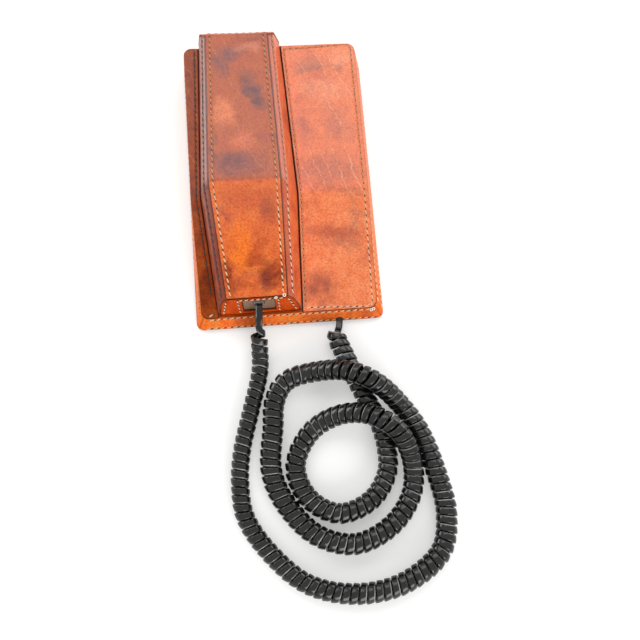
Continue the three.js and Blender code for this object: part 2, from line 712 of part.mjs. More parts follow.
// The plug lies level behind the tilted plate, half way between inner face and back
const plugHalfWidth = 3.6;
const jackWall = 1.4;
const jackClearance = 0.7;
const plugFaceY = endCentre.y + endPlate.sunk * 0.5;
const jackStartY = endCentre.y + endPlate.sunk + endPlate.thick + 2.3;
const jackEndY = jackStartY + 9.4;
const jackFloor = innerFace(jackEndY) + coverThickness;
const jackCeiling = handsetHeight(jackStartY) - cavityInset - 0.6;
const jackZ = (jackFloor + jackCeiling) / 2;
const plugHalfHeight = (jackCeiling - jackFloor) / 2 - jackWall - jackClearance;

function plugBlock(more, y0, y1) {
  const half = plugHalfWidth + more;
  const rise = plugHalfHeight + more;
  return block(endMiddleX - half, endMiddleX + half, y0, y1, jackZ - rise, jackZ + rise);
}

const jackRoom = plugBlock(jackWall + gap, farFront, jackEndY + gap);

function buildEndJack() {
  const face = -endPlate.sunk;
  const plugRoom = plugBlock(gap, farFront, jackEndY - 1);
  const plate = endBlock(endPlate.halfWidth, endPlate.low, endPlate.high, face - endPlate.thick, face);
  addPiece('cord_plate', plate.subtract(plugRoom), looks.greyPlate);
  addPiece('handset_jack', plugBlock(jackWall, jackStartY, jackEndY).subtract(plugRoom),
    looks.darkPlastic);
  const latch = block(endMiddleX - 2, endMiddleX + 2, jackStartY + 2, farRear, 0,
    jackZ - plugHalfHeight + 1);
  addPiece('handset_cord_plug', plugBlock(0, plugFaceY, jackEndY - 1 - gap).subtract(latch),
    looks.clearPlastic);
}

// Handset: inner face

function buildInnerCover() {
  const line = [
    [farFront, innerFace(farFront)], [troughKneeY, innerFace(troughKneeY)],
    [farRear, innerFace(farRear)], [farRear, innerFace(farRear) + coverThickness],
    [troughKneeY, innerFace(troughKneeY) + coverThickness],
    [farFront, innerFace(farFront) + coverThickness]];
  let cover = handsetBody(cavityInset + gap).intersect(prismX(line, -99, 99));
  const aboveInnerFace = prismX([
    [farFront, innerFace(farFront) + 0.5], [troughKneeY, innerFace(troughKneeY) + 0.5],
    [farRear, innerFace(farRear) + 0.5], [farRear, high], [farFront, high]], -99, 99);
  const dialX = handsetMiddle(dialY);
  const earX = handsetMiddle(receiverY);
  const mouthX = handsetMiddle(transmitterY);
  const mouthBack = innerFace(transmitterY + transmitterRadius) + coverThickness;
  cover = unite([cover,
    disc(wellRadius + 1.5, dialX, dialY, wellFloor - 5.9, wellFloor + 1.5),
    disc(receiverRadius + gap + 1.6, earX, receiverY, innerFace(receiverY) + 1,
      innerFace(receiverY) + coverThickness + receiverThickness),
    disc(transmitterRadius + gap + 1.4, mouthX, transmitterY, 0, mouthBack + transmitterThickness - 1)
      .intersect(aboveInnerFace)]);
  const holes = [
    disc(wellRadius, dialX, dialY, 0, wellFloor),
    disc(3, dialX, dialY, 0, high, smallSides),
    disc(receiverRadius + gap, earX, receiverY, innerFace(receiverY) + coverThickness, high),
    disc(transmitterRadius + gap, mouthX, transmitterY, mouthBack, high),
    disc(buttonRadius + gap, handsetMiddle(buttonY), buttonY, 0, high, 16),
    turned([[0, innerFace(receiverY) - 1], [13, innerFace(receiverY) - 1],
      [11, innerFace(receiverY) + 1], [0, innerFace(receiverY) + 1]], earX, receiverY, 20)];
  for (const [, y] of coverScrews) {
    holes.push(disc(screwHeadRadius + gap, handsetMiddle(y), y, 0, innerFace(y) + 1.6, smallSides));
    holes.push(disc(screwRadius + gap, handsetMiddle(y), y, 0, high, smallSides));
  }
  const soundHole = (x, y) => disc(1.2, x, y, 0, high, 6);
  const ring = (x, y, radius, count) => {
    for (let i = 0; i < count; i++) {
      const a = (2 * Math.PI * i) / count;
      holes.push(soundHole(x + radius * Math.cos(a), y + radius * Math.sin(a)));
    }
  };
  holes.push(soundHole(earX, receiverY));
  ring(earX, receiverY, 4.4, 6);
  ring(mouthX, transmitterY, 3.2, 4);
  ring(mouthX, transmitterY, 8, 6);
  for (const hole of holes) cover = cover.subtract(hole);
  addPiece('inner_cover', cover, looks.darkPlastic);
  addPiece('receiver_capsule', disc(receiverRadius, earX, receiverY,
    innerFace(receiverY) + coverThickness + gap,
    innerFace(receiverY) + coverThickness + gap + receiverThickness), looks.capsule);
  addPiece('transmitter_capsule', disc(transmitterRadius, mouthX, transmitterY, mouthBack + gap,
    mouthBack + gap + transmitterThickness, 20), looks.capsule);
  for (const [place, y] of coverScrews) {
    const head = innerFace(y) + 0.3;
    const screw = turned([[0, head], [screwHeadRadius, head], [screwHeadRadius, innerFace(y) + 1.3],
      [screwRadius - gap, innerFace(y) + 1.3], [screwRadius - gap, innerFace(y) + 11],
      [0, innerFace(y) + 11]], handsetMiddle(y), y, smallSides);
    addPiece(`cover_screw_${place}`, screw, looks.steel);
  }
}

const wheelBottom = innerFace(dialY) + 1.5;
const wheelTop = wheelBottom + wheelThickness;
const holeCircle = dialRadius - fingerHoleRadius - 1.5;
const firstHoleDegrees = 20;
const stopDegrees = firstHoleDegrees - 1.4 * dialPitchDegrees;
const stopThickness = 0.8;
const stopHalf = 1.4;

function buildDial() {
  const x = handsetMiddle(dialY);
  const ringTop = wellFloor - gap;
  const ringBottom = ringTop - 1.2;
  addPiece('number_ring', turned([[4, ringBottom], [wellRadius - 1, ringBottom],
    [wellRadius - 1, ringTop], [4, ringTop], [4, ringBottom]], x, dialY), looks.ivoryPlastic);

  let wheel = turned([
    [0, wheelBottom], [dialRadius - 0.6, wheelBottom], [dialRadius, wheelBottom + 0.6],
    [dialRadius, wheelTop], [0, wheelTop]], x, dialY, 40);
  for (let i = 0; i < fingerHoles; i++) {
    const a = THREE.MathUtils.degToRad(firstHoleDegrees + dialPitchDegrees * i);
    wheel = wheel.subtract(disc(fingerHoleRadius, x + holeCircle * Math.cos(a),
      dialY + holeCircle * Math.sin(a), 0, high, 16));
  }
  wheel = wheel.subtract(disc(2 + gap, x, dialY, 0, high, smallSides));
  addPiece('finger_wheel', wheel, looks.clearPlastic);

  // Spindle with a collar that carries the wheel, through the floor of the well
  const spindleTop = wellFloor + 9;
  addPiece('dial_spindle', turned([
    [0, wheelBottom + 0.2], [2, wheelBottom + 0.2], [2, wheelTop + gap], [3.4, wheelTop + gap],
    [3.4, ringBottom - 0.6], [2, ringBottom - 0.6], [2, spindleTop], [0, spindleTop]],
  x, dialY, smallSides), looks.steel);
  const capTop = wheelBottom - gap;
  addPiece('dial_cap', turned([[0, capTop - 0.9], [7.5, capTop - 0.9], [8.4, capTop - 0.3],
    [8.4, capTop], [0, capTop]], x, dialY, 20), looks.ivoryPlastic);

  // Finger stop: a round-tipped strip from the wall of the well across the hole circle
  const stopTip = holeCircle - fingerHoleRadius + 1;
  const stopLow = wheelBottom - gap - stopThickness;
  const stop = block(stopTip, wellRadius + 1, -stopHalf, stopHalf, stopLow, stopLow + stopThickness)
    .add(disc(stopHalf, stopTip, 0, stopLow, stopLow + stopThickness, smallSides))
    .intersect(disc(wellRadius - gap / 2, 0, 0, 0, high));
  addPiece('finger_stop', geometryOf(stop).rotateZ(THREE.MathUtils.degToRad(stopDegrees))
    .translate(x, dialY, 0), looks.steel);

  const works = wellFloor + 1.5 + gap;
  let movement = disc(dialRadius - 5, x, dialY, works, works + 3);
  movement = movement.add(disc(dialRadius - 9, x, dialY, works + 2.8, works + 12));
  movement = movement.add(disc(4.5, x + 14.5, dialY + 4, works + 2.8, works + 9, smallSides));
  movement = movement.subtract(disc(2 + gap, x, dialY, 0, spindleTop + 1, smallSides));
  addPiece('dial_movement', movement, looks.brass);
}

function buildButton() {
  const x = handsetMiddle(buttonY);
  const low = innerFace(buttonY) - 0.1;
  const flange = innerFace(buttonY) + coverThickness + gap;
  addPiece('recall_button', turned([
    [0, low], [buttonRadius - 0.8, low], [buttonRadius, low + 0.6],
    [buttonRadius, flange], [buttonRadius + 1.5, flange], [buttonRadius + 1.5, flange + 1],
    [0, flange + 1]], x, buttonY, 16), looks.ivoryPlastic);
}

// Curly cord: route of the coil's middle on the table, from the handset to the base
const coilRoute = [
  [-22.6, -118], [-23.7, -133.4], [-30.8, -158.1], [-38.8, -186.2], [-41.2, -208],
  [-38.8, -229.5], [-23.9, -254.2], [-1.1, -275.4], [29.9, -284.3], [61.4, -280.2],
  [86.8, -262.8], [92.9, -239.4], [90, -215.9], [79, -179.6], [59.6, -153.7], [31.3, -139],
  [2.9, -138.6], [-13.6, -149.8], [-17.3, -172.1], [-20.2, -201.1], [-12.7, -222.6],
  [6.5, -245], [31.7, -252.9], [57.3, -242.2], [71.8, -222.2], [73, -200.1], [64.4, -182.5],
  [46, -170.1], [26.6, -168.4], [7.5, -177.5], [-4.3, -199.5], [3.1, -221.1], [22.1, -232.5],
  [43.8, -225.8], [56, -209], [57.4, -192.9], [54.5, -176.7], [47.8, -160.4], [41.4, -145],
  [35.5, -129.3], [30.6, -118],
];

// Where an earlier ring rides over the end of the cord: place and half length of the rise
const crossings = [
  { x: 54.3, y: -175.5, half: 48, from: 0.5, to: 0.8 },
  { x: 42, y: -143.8, half: 40, from: 0.25, to: 0.55 },
];

const handsetLead = [[-21.2, -98.5, 17.4], [-22.4, -105.5, 12.5]];
const baseLead = [[36.6, -111.5, 4.2], [35, -105.6, 4.4]];

function coilMiddle() {
  const flat = new THREE.CatmullRomCurve3(
    coilRoute.map(([x, y]) => new THREE.Vector3(x, y, coilLift)), false, 'centripetal');
  flat.arcLengthDivisions = 2000;
  return (share) => {
    const point = flat.getPointAt(share);
    for (const crossing of crossings) {
      const away = Math.hypot(point.x - crossing.x, point.y - crossing.y) / crossing.half;
      if (share < crossing.from || share > crossing.to || away > 1) continue;
      point.z += crossingHeight * Math.cos(away * Math.PI / 2) ** 2;
    }
    return point;
  };
}

// One unbroken round cord: a straight lead, the curls about the middle line, a lead
function cordLine() {
  const middle = coilMiddle();
  const radius = (coilOuterDiameter - cordThickness) / 2;
  const steps = coilCurls * curlSteps;
  const curls = [];
  const up = new THREE.Vector3(0, 0, 1);
  for (let i = 0; i <= steps; i++) {
    const share = i / steps;
    const along = middle(Math.min(share + 1e-3, 1)).sub(middle(Math.max(share - 1e-3, 0))).normalize();
    const side = new THREE.Vector3().crossVectors(along, up).normalize();
    const over = new THREE.Vector3().crossVectors(side, along);
    const angle = (2 * Math.PI * i) / curlSteps + Math.PI / 2;
    const ramp = Math.min(1, (i + 1) / curlSteps, (steps - i + 1) / curlSteps);
    curls.push(middle(share)
      .addScaledVector(side, radius * ramp * Math.cos(angle))
      .addScaledVector(over, radius * ramp * Math.sin(angle)));
  }
  const start = new THREE.Vector3(endMiddleX, plugFaceY - gap, jackZ);
  const straight = start.clone().setY(start.y - cordThickness);
  const end = new THREE.Vector3(baseCordX, plugFrontY - gap, cordEntryHeight);
  const wallExit = end.clone().setY(-baseHalfLength - 1);
  const asPoints = (list) => list.map((p) => new THREE.Vector3(...p));
  const smooth = (list, pieces) => new THREE.CatmullRomCurve3(list, false, 'centripetal')
    .getPoints(pieces);
  const first = smooth([straight, ...asPoints(handsetLead), curls[0]], 12).slice(1, -1);
  const last = smooth([curls[steps], ...asPoints(baseLead), wallExit], 10).slice(1, -1);
  return [start, straight, ...first, ...curls, ...last, wallExit, end];
}

function sweep(line) {
  const count = line.length;
  const vertices = [];
  const index = [];
  let side = new THREE.Vector3(1, 0, 0);
  for (let i = 0; i < count; i++) {
    const along = line[Math.min(i + 1, count - 1)].clone().sub(line[Math.max(i - 1, 0)]).normalize();
    side = side.addScaledVector(along, -side.dot(along)).normalize();
    const over = new THREE.Vector3().crossVectors(along, side);
    for (let k = 0; k < cordSides; k++) {
      const a = (2 * Math.PI * k) / cordSides;
      const point = line[i].clone()
        .addScaledVector(side, cordThickness / 2 * Math.cos(a))
        .addScaledVector(over, cordThickness / 2 * Math.sin(a));
      vertices.push(...point.toArray());
    }
  }
  for (let i = 0; i + 1 < count; i++) {
    for (let k = 0; k < cordSides; k++) {
      const a = i * cordSides + k;
      const b = i * cordSides + (k + 1) % cordSides;
      index.push(a, b, b + cordSides, a, b + cordSides, a + cordSides);
    }
  }
  const far = (count - 1) * cordSides;
  for (let k = 1; k + 1 < cordSides; k++) {
    index.push(0, k + 1, k, far, far + k, far + k + 1);
  }
  const geometry = new THREE.BufferGeometry();
  geometry.setAttribute('position', new THREE.Float32BufferAttribute(vertices, 3));
  geometry.setIndex(index);
  return geometry;
}

// Least free gap between stretches of the cord more than most of a curl apart
function leastGap(line) {
  const skip = Math.round(curlSteps * 0.75);
  let least = Infinity;
  for (let i = 0; i + 1 < line.length; i++) {
    const middle = line[i].clone().lerp(line[i + 1], 0.5);
    for (let j = i + skip; j < line.length; j++) {
      least = Math.min(least, middle.distanceTo(line[j]), line[i].distanceTo(line[j]));
    }
  }
  return least - cordThickness;
}

function buildCord() {
  const line = cordLine();
  let run = 0;
  for (let i = 1; i < line.length; i++) run += line[i].distanceTo(line[i - 1]);
  const bottom = Math.min(...line.map((p) => p.z)) - cordThickness / 2;
  console.log(`cord: ${run.toFixed(0)} mm of strand, least gap to itself ${leastGap(line).toFixed(2)} mm,`
    + ` lowest point ${bottom.toFixed(2)} mm`);
  addPiece('coiled_cord', sweep(line), looks.cordPlastic);
}

addPiece('base_shell', buildShell(), looks.darkPlastic);
addPiece('base_plate', buildBasePlate(), looks.steel);
buildFeetAndScrews();
buildBaseLeathers();
buildRinger();
buildCircuit();
buildHookSwitch();
buildBaseJacks();
addPiece('handset_shell', buildHandsetShell(), looks.darkPlastic);
buildHandsetLeathers();
buildEndJack();
buildInnerCover();
buildDial();
buildButton();
buildCord();

export default model;
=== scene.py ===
# %% [markdown]
# # A desk telephone in stitched leather
# The telephone is a slim wedge-shaped base with a long handset lying in a trough. Both are
# covered in tan saddle leather, cut into panels, inked black along some cut edges, and sewn by
# hand with waxed linen. A black curly cord joins the handset to the base. The hard parts come
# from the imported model; this lesson adds the leather, the thread, the wound cord and the
# finishes. Lengths are written in millimetres and turned to metres when a mesh is made.

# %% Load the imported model
import math

import bpy
import numpy as np
from mathutils import Matrix, Vector


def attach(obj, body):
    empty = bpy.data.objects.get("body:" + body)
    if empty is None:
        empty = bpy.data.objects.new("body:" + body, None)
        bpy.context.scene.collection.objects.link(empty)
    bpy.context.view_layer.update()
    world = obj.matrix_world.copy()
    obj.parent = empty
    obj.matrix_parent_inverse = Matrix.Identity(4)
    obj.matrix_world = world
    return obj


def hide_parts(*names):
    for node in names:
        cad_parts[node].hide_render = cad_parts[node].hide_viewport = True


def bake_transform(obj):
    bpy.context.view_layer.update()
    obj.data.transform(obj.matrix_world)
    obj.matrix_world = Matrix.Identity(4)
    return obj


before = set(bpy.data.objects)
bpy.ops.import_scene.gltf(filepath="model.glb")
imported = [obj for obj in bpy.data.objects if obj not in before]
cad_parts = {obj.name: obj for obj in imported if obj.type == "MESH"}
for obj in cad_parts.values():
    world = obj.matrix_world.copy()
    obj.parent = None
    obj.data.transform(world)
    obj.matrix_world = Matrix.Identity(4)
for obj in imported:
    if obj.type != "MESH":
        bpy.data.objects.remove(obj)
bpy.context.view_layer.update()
MM = 0.001
print("nodes", len(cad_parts))

# %% [markdown]
# ## Camera
# The photograph looks down on the telephone from in front of the end where the cord leaves
# it. The focal length and the place were fitted to the outline of the base, the fold across it
# and the ends of the handset, so that a point of the model lands on its own pixel. The
# picture was cropped, so the lens axis isn't in its middle; a small shift stands for that.

# %% Camera from the fitted numbers
FOCAL_PIXELS = 645.71
AXIS_PIXEL = (373.81, 371.59)
IMAGE_PIXELS = 640
SENSOR_MM = 36
CAMERA_PLACE = Vector((13.587, -216.902, 442.966))
CAMERA_TURN = Vector((-0.17856, 0.08311, 0.08826))

to_camera = Matrix.Rotation(CAMERA_TURN.length, 3, CAMERA_TURN.normalized())
camera_data = bpy.data.cameras.new("camera")
camera_data.sensor_width = SENSOR_MM
camera_data.lens = SENSOR_MM * FOCAL_PIXELS / IMAGE_PIXELS
camera_data.shift_x = (IMAGE_PIXELS / 2 - AXIS_PIXEL[0]) / IMAGE_PIXELS
camera_data.shift_y = (AXIS_PIXEL[1] - IMAGE_PIXELS / 2) / IMAGE_PIXELS
camera_data.clip_start = 0.01
camera = bpy.data.objects.new("camera", camera_data)
camera.matrix_world = (Matrix.Translation(CAMERA_PLACE * MM)
                       @ to_camera.transposed().to_4x4())
bpy.context.scene.collection.objects.link(camera)
bpy.context.scene.camera = camera


def pixel_of(point):
    """The picture's pixel of a point in mm: turned into the camera, divided by depth."""
    q = to_camera @ (Vector(point) - CAMERA_PLACE)
    return (round(AXIS_PIXEL[0] + FOCAL_PIXELS * q.x / -q.z, 1),
            round(AXIS_PIXEL[1] - FOCAL_PIXELS * q.y / -q.z, 1))


print("front right corner", pixel_of((60, -94.5, 9.5)), "rear right", pixel_of((60, 96, 30)))

# %% [markdown]
# ## Helpers for meshes
# Pieces like these could be pulled into shape by hand in edit mode, but then no number says
# where a seam runs. So every piece is worked out as numpy arrays of points in millimetres and
# handed to the mesh in one go. A closed surface whose signed volume comes out negative is inside
# out, so its faces are turned round before the mesh is made.

# %% From arrays to a mesh


def make_piece(name, points, faces, material, body, marks=None, smooth=True):
    """Mesh from points in mm. Volume = a sixth of the sum over fan triangles of a . (b x c);
    when it is negative every face is listed backwards. marks are numbers stored on points."""
    points = np.asarray(points, float)
    by_count = {}
    for block in faces:
        block = np.asarray(block, int)
        by_count.setdefault(block.shape[1], []).append(block)
    blocks = [np.concatenate(group) for group in by_count.values()]
    volume = 0.0
    for block in blocks:
        for k in range(1, block.shape[1] - 1):
            a, b, c = points[block[:, 0]], points[block[:, k]], points[block[:, k + 1]]
            volume += np.einsum("ij,ij->", a, np.cross(b, c)) / 6
    if volume < 0:
        blocks = [block[:, ::-1] for block in blocks]
    mesh = bpy.data.meshes.new(name)
    mesh.from_pydata((points * MM).tolist(), [],
                     [row for block in blocks for row in block.tolist()])
    for key, values in (marks or {}).items():
        layer = mesh.attributes.new(key, "FLOAT", "POINT")
        layer.data.foreach_set("value", np.asarray(values, np.float32).ravel())
    mesh.polygons.foreach_set("use_smooth", [smooth] * len(mesh.polygons))
    mesh.materials.append(material)
    piece = bpy.data.objects.new(name, mesh)
    bpy.context.scene.collection.objects.link(piece)
    if body:
        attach(piece, body)
    return piece


def tube_faces(rings, sides):
    """Quads between neighbouring rings of points and a flat cap at each end."""
    i, k = np.meshgrid(np.arange(rings - 1), np.arange(sides), indexing="ij")
    a = (i * sides + k).ravel()
    b = (i * sides + (k + 1) % sides).ravel()
    walls = np.column_stack([a, b, b + sides, a + sides])
    caps = [np.arange(sides)[::-1][None], (np.arange(sides) + (rings - 1) * sides)[None]]
    return [walls, *caps]


# %% [markdown]
# ## Helpers for materials
# One function turns a hex colour to the linear numbers that the shader wants, and one adds a
# node with its settings and links. A finish is built up as on the bench: a first colour, then
# coats over it, each spread by a pattern. So one function lays a coat on what is there.

# %% Colours, nodes and coats


def linear(hex_colour):
    """sRGB hex to linear RGBA: c / 12.92 below 0.04045, else ((c + 0.055) / 1.055) to the 2.4."""
    parts = [int(hex_colour[i:i + 2], 16) / 255 for i in (1, 3, 5)]
    return (*[c / 12.92 if c <= 0.04045 else ((c + 0.055) / 1.055) ** 2.4 for c in parts], 1.0)


def add_node(owner, kind, inputs=(), result=0, **settings):
    """One node in a material or the world, and its output called result. inputs are in the
    order of the node's sockets, or a dict by name or number: values, hex colours or outputs."""
    tree = owner.node_tree
    node = tree.nodes.new("ShaderNode" + kind)
    for key, value in settings.items():
        setattr(node, key, value)
    for key, value in (inputs if isinstance(inputs, dict) else dict(enumerate(inputs))).items():
        if isinstance(value, bpy.types.NodeSocket):
            tree.links.new(value, node.inputs[key])
        else:
            node.inputs[key].default_value = linear(value) if isinstance(value, str) else value
    return node.outputs[result]


def shader_input(material, name):
    return material.node_tree.nodes["Principled BSDF"].inputs[name]


def link(material, source, name):
    material.node_tree.links.new(source, shader_input(material, name))


def new_material(name, **constants):
    """A material whose constant values are set on the Principled shader's own sockets."""
    material = bpy.data.materials.new(name)
    material.use_nodes = True
    for key, value in constants.items():
        socket = shader_input(material, key.replace("_", " ").title().replace("Ior", "IOR"))
        socket.default_value = linear(value) if isinstance(value, str) else value
    return material


def coat(material, source, limits, colour, kind="MIX", curve="LINEAR"):
    """A colour laid over the material's colour so far. While source runs between the first two
    limits, the coat's share runs between the last two, or from 0 to 1 if there are only two."""
    base = shader_input(material, "Base Color")
    under = base.links[0].from_socket if base.links else tuple(base.default_value)
    share = add_node(material, "MapRange", (source, *limits), interpolation_type=curve)
    layer = add_node(material, "Mix", {0: share, 6: under, 7: colour}, 2,
                     data_type="RGBA", blend_type=kind)
    material.node_tree.links.new(layer, base)


# %% [markdown]
# ## Curly cord: its material
# The cord is plasticised PVC, pushed out as a flat ribbon, wound hot on a rod and cooled, so it
# is smooth with a dull gloss and near black. A painted sheen greys the side of each turn that
# faces up, and a painted pale highlight lies on one corner of the ribbon in places, on the turns
# that face up. A noise can't know which side of a turn faces up, so both are numbers stored on
# the mesh's points, and the material only reads them.

# %% Black PVC


def grained(name, low, high, grain_mm, roughness, bump=0.05, detail=4.0, low_until=0.35,
            uneven=(-0.06, 0.08), depth_mm=0.4, **constants):
    """Two close tones mixed by a fine noise. The same grain varies the roughness and makes a
    bump, so that the gloss breaks up a little, as on moulded plastic or brushed metal."""
    material = new_material(name, base_color=low, roughness=roughness, **constants)
    place = add_node(material, "TexCoord", result="Object")
    grain = add_node(material, "TexNoise",
                     {"Vector": place, "Scale": 1 / (grain_mm * MM), "Detail": detail})
    coat(material, grain, (low_until, 0.7), high)
    link(material, add_node(material, "MapRange", {
        "Value": grain, "To Min": roughness + uneven[0], "To Max": roughness + uneven[1]}),
        "Roughness")
    link(material, add_node(material, "Bump", {
        "Height": grain, "Strength": bump, "Distance": depth_mm * MM}), "Normal")
    return material


cord_pvc = grained("extruded_black_pvc", "#070807", "#111211", 2.5, 0.15, specular_ior_level=0.4)
# First coat: a painted sheen, grey on the side of each turn that faces up. Second: a painted pale
# highlight on one corner of the ribbon.
for mark, limits, colour in (("upward", (0.45, 1), "#141413"), ("rubbed", (0, 1), "#A6A8A2")):
    stored = add_node(cord_pvc, "Attribute", result="Fac", attribute_name=mark)
    coat(cord_pvc, stored, limits, colour)
print("cord material", cord_pvc.name, "with", len(cord_pvc.node_tree.nodes), "nodes")

# %% [markdown]
# ## Curly cord: its shape
# The strand is a flat ribbon about 4.6 by 2.7 mm. Its coil lies in three rings on the table, so
# the middle line is a smooth curve through points on the table, and the ribbon turns about it
# once every 5.4 mm. On the inside of a bend the turns come closer, so the ribbon is made
# narrower there, as the real one hides under its neighbour. Near both ends the coil was never
# wound: the radius and the rate of turning fade out, and the ribbon runs on as a short lead. A
# Screw modifier bent along a curve would be quicker, but it keeps one radius and one pitch.

# %% Route of the middle line
COIL_ROUTE = [
    (-22.6, -118), (-23.7, -133.4), (-30.8, -158.1), (-38.8, -186.2), (-41.2, -208),
    (-38.8, -229.5), (-23.9, -254.2), (-1.1, -275.4), (29.9, -284.3), (61.4, -280.2),
    (86.8, -262.8), (92.9, -239.4), (90, -215.9), (79, -179.6), (59.6, -153.7), (31.3, -139),
    (2.9, -138.2), (-8.6, -143.6), (-15.2, -155.5), (-17.3, -172.1), (-20.2, -201.1),
    (-12.7, -222.6), (6.5, -245), (31.7, -252.9), (57.3, -242.2), (71.8, -222.2), (73, -200.1),
    (64.4, -182.5), (46, -170.1), (26.6, -168.4), (7.5, -177.5), (-4.3, -199.5), (3.1, -221.1),
    (22.1, -232.5), (43.8, -225.8), (56, -209), (57.4, -192.9), (54.5, -176.7), (47.8, -160.4),
    (41.4, -145), (35.8, -129.3), (31.4, -117.5)]
HANDSET_LEAD = np.array([(-20.36, -89.6, 18.74), (-20.4, -93.0, 18.9), (-20.7, -98.0, 18.2),
                         (-21.8, -105.5, 13.4)])
BASE_LEAD = [(30.6, -114.0, 6.0), (31.4, -109.5, 5.0), (33.0, -104.5, 3.9), (33.5, -99, 3.6),
             (33.3, -93, 4.3), (33.3, -84.5, 4.6)]
# Where a ring rides over the strand's last run: x, y, reach and the shares of the route it spans
CROSSINGS = [(54.3, -175.5, 48, 0.5, 0.8), (42, -143.8, 40, 0.25, 0.55)]
CROSSING_RISE = 14.6
print("points on the route", len(COIL_ROUTE))

# %% [markdown]
# A curve through points could be one of Blender's own, but one kind needs handles at every
# point, and another passes the points by. This one is a chain of cubics that goes through each
# point without loops, and it can be worked out for all its samples at once.

# %% A smooth curve through points
CURVE_SAMPLES = 6000


def step_lengths(points):
    return np.linalg.norm(np.diff(points, axis=0), axis=1)


def summed(steps):
    """Running total that starts at 0."""
    return np.concatenate([[0], np.cumsum(steps)])


def read_at(places, run, values):
    """Values known at distances run, read off at other places, column by column."""
    values = np.asarray(values, float)
    if values.ndim == 1:
        return np.interp(places, run, values)
    return np.column_stack([np.interp(places, run, column) for column in values.T])


def curve_through(points, spacing):
    """A cubic in each span, with knots at the summed square roots of the chord lengths. At a
    point it runs about along the line between its neighbours. Then points are taken at equal
    distances along it."""
    p = np.asarray(points, float)
    p = np.vstack([2 * p[0] - p[1], p, 2 * p[-1] - p[-2]])
    knots = summed(np.sqrt(step_lengths(p)))
    t = np.linspace(knots[1], knots[-2], CURVE_SAMPLES)
    i = np.clip(np.searchsorted(knots, t, side="right") - 1, 1, len(p) - 3)
    k = [knots[i + j] for j in (-1, 0, 1, 2)]
    q = [p[i + j] for j in (-1, 0, 1, 2)]

    def mix(a, b, ta, tb):
        return ((tb - t) / (tb - ta))[:, None] * a + ((t - ta) / (tb - ta))[:, None] * b

    a = [mix(q[j], q[j + 1], k[j], k[j + 1]) for j in range(3)]
    b = [mix(a[j], a[j + 1], k[j], k[j + 2]) for j in range(2)]
    line = mix(b[0], b[1], k[1], k[2])
    run = summed(step_lengths(line))
    at = np.linspace(0, run[-1], int(run[-1] / spacing) + 2)
    return read_at(at, run, line), at


# %% [markdown]
# The coil lies on the table, so its middle line is one radius above it. Where a ring crosses
# the strand's own last run, it rides over it in a soft hump.

# %% The coil's middle line
TABLE_CLEARANCE = 0.25
# Outer radius along the coil, share of the route against mm: wound tighter at the handset
RADIUS_SHARE = [0, 0.1, 0.18, 0.27, 0.36, 0.45, 0.55, 0.8, 1]
RADIUS_MM = [5.7, 6.0, 6.4, 7.3, 7.1, 7.0, 7.2, 6.9, 6.8]

coil_line, coil_run = curve_through(np.pad(np.array(COIL_ROUTE, float), ((0, 0), (0, 1))), 1.0)
share = coil_run / coil_run[-1]
coil_line[:, 2] = np.interp(share, RADIUS_SHARE, RADIUS_MM) + TABLE_CLEARANCE
for x, y, reach, first, last in CROSSINGS:
    away = np.hypot(coil_line[:, 0] - x, coil_line[:, 1] - y) / reach
    over = (share > first) & (share < last) & (away < 1)
    rise = CROSSING_RISE * np.cos(np.minimum(away, 1) * np.pi / 2) ** 2
    coil_line[:, 2] += np.where(over, rise, 0)
print("length of the coil as it lies, mm", round(coil_run[-1]))

# %% [markdown]
# ## Curly cord: winding the ribbon
# The middle line gets its leads, then two things are given along it: the ribbon's distance from
# the line and how fast it turns. Adding up the turning gives the angle, and samples are taken
# evenly in angle so that each turn has the same number of faces. The sum is trimmed to whole
# half turns, so that the ribbon lies flat at both ends.

# %% Wind the strand
TURN_MM = 5.4
TURN_STEPS = 20
LEAD_STEPS_PER_MM = 0.5
RIBBON_HALF_WIDTH = 2.3
RIBBON_HALF_THICK = 1.35
TURNED_CORNER_ROOM = 0.55
HANDSET_LEAD_RUN, BASE_LEAD_RUN = 24.0, 25.0
EASE_EARLY, EASE_IN, EASE_OUT = 3, 12, 5
OPENS_SOONER, TURNS_SOONER = 1.3, 0.8
TIGHTEST, WIDEST = 0.7, 1.12

middle, run = curve_through(np.vstack([HANDSET_LEAD, coil_line[6:-6:2], BASE_LEAD]), 0.5)
first_turn = step_lengths(HANDSET_LEAD).sum()
last_turn = run[-1] - BASE_LEAD_RUN
ease = np.minimum(np.clip((run - first_turn + EASE_EARLY) / EASE_IN, 0, 1),
                  np.clip((last_turn - run) / EASE_OUT, 0, 1))
ease = ease * ease * (3 - 2 * ease)
outer = np.interp((run - first_turn) / (last_turn - first_turn), RADIUS_SHARE, RADIUS_MM)
radius = (outer - RIBBON_HALF_THICK) * np.clip(ease * OPENS_SOONER, 0, 1)
rate = 2 * np.pi / TURN_MM * ease ** TURNS_SOONER
middle[:, 2] = np.maximum(middle[:, 2], radius + RIBBON_HALF_THICK + TURNED_CORNER_ROOM)
angle = summed((rate[1:] + rate[:-1]) / 2 * np.diff(run))
angle *= round(angle[-1] / np.pi) * np.pi / angle[-1]
density = summed((rate[1:] * TURN_STEPS / (2 * np.pi) + LEAD_STEPS_PER_MM) * np.diff(run))
samples = np.linspace(0, density[-1], int(density[-1]))


def unit(vectors):
    return vectors / np.maximum(np.linalg.norm(vectors, axis=-1, keepdims=True), 1e-12)


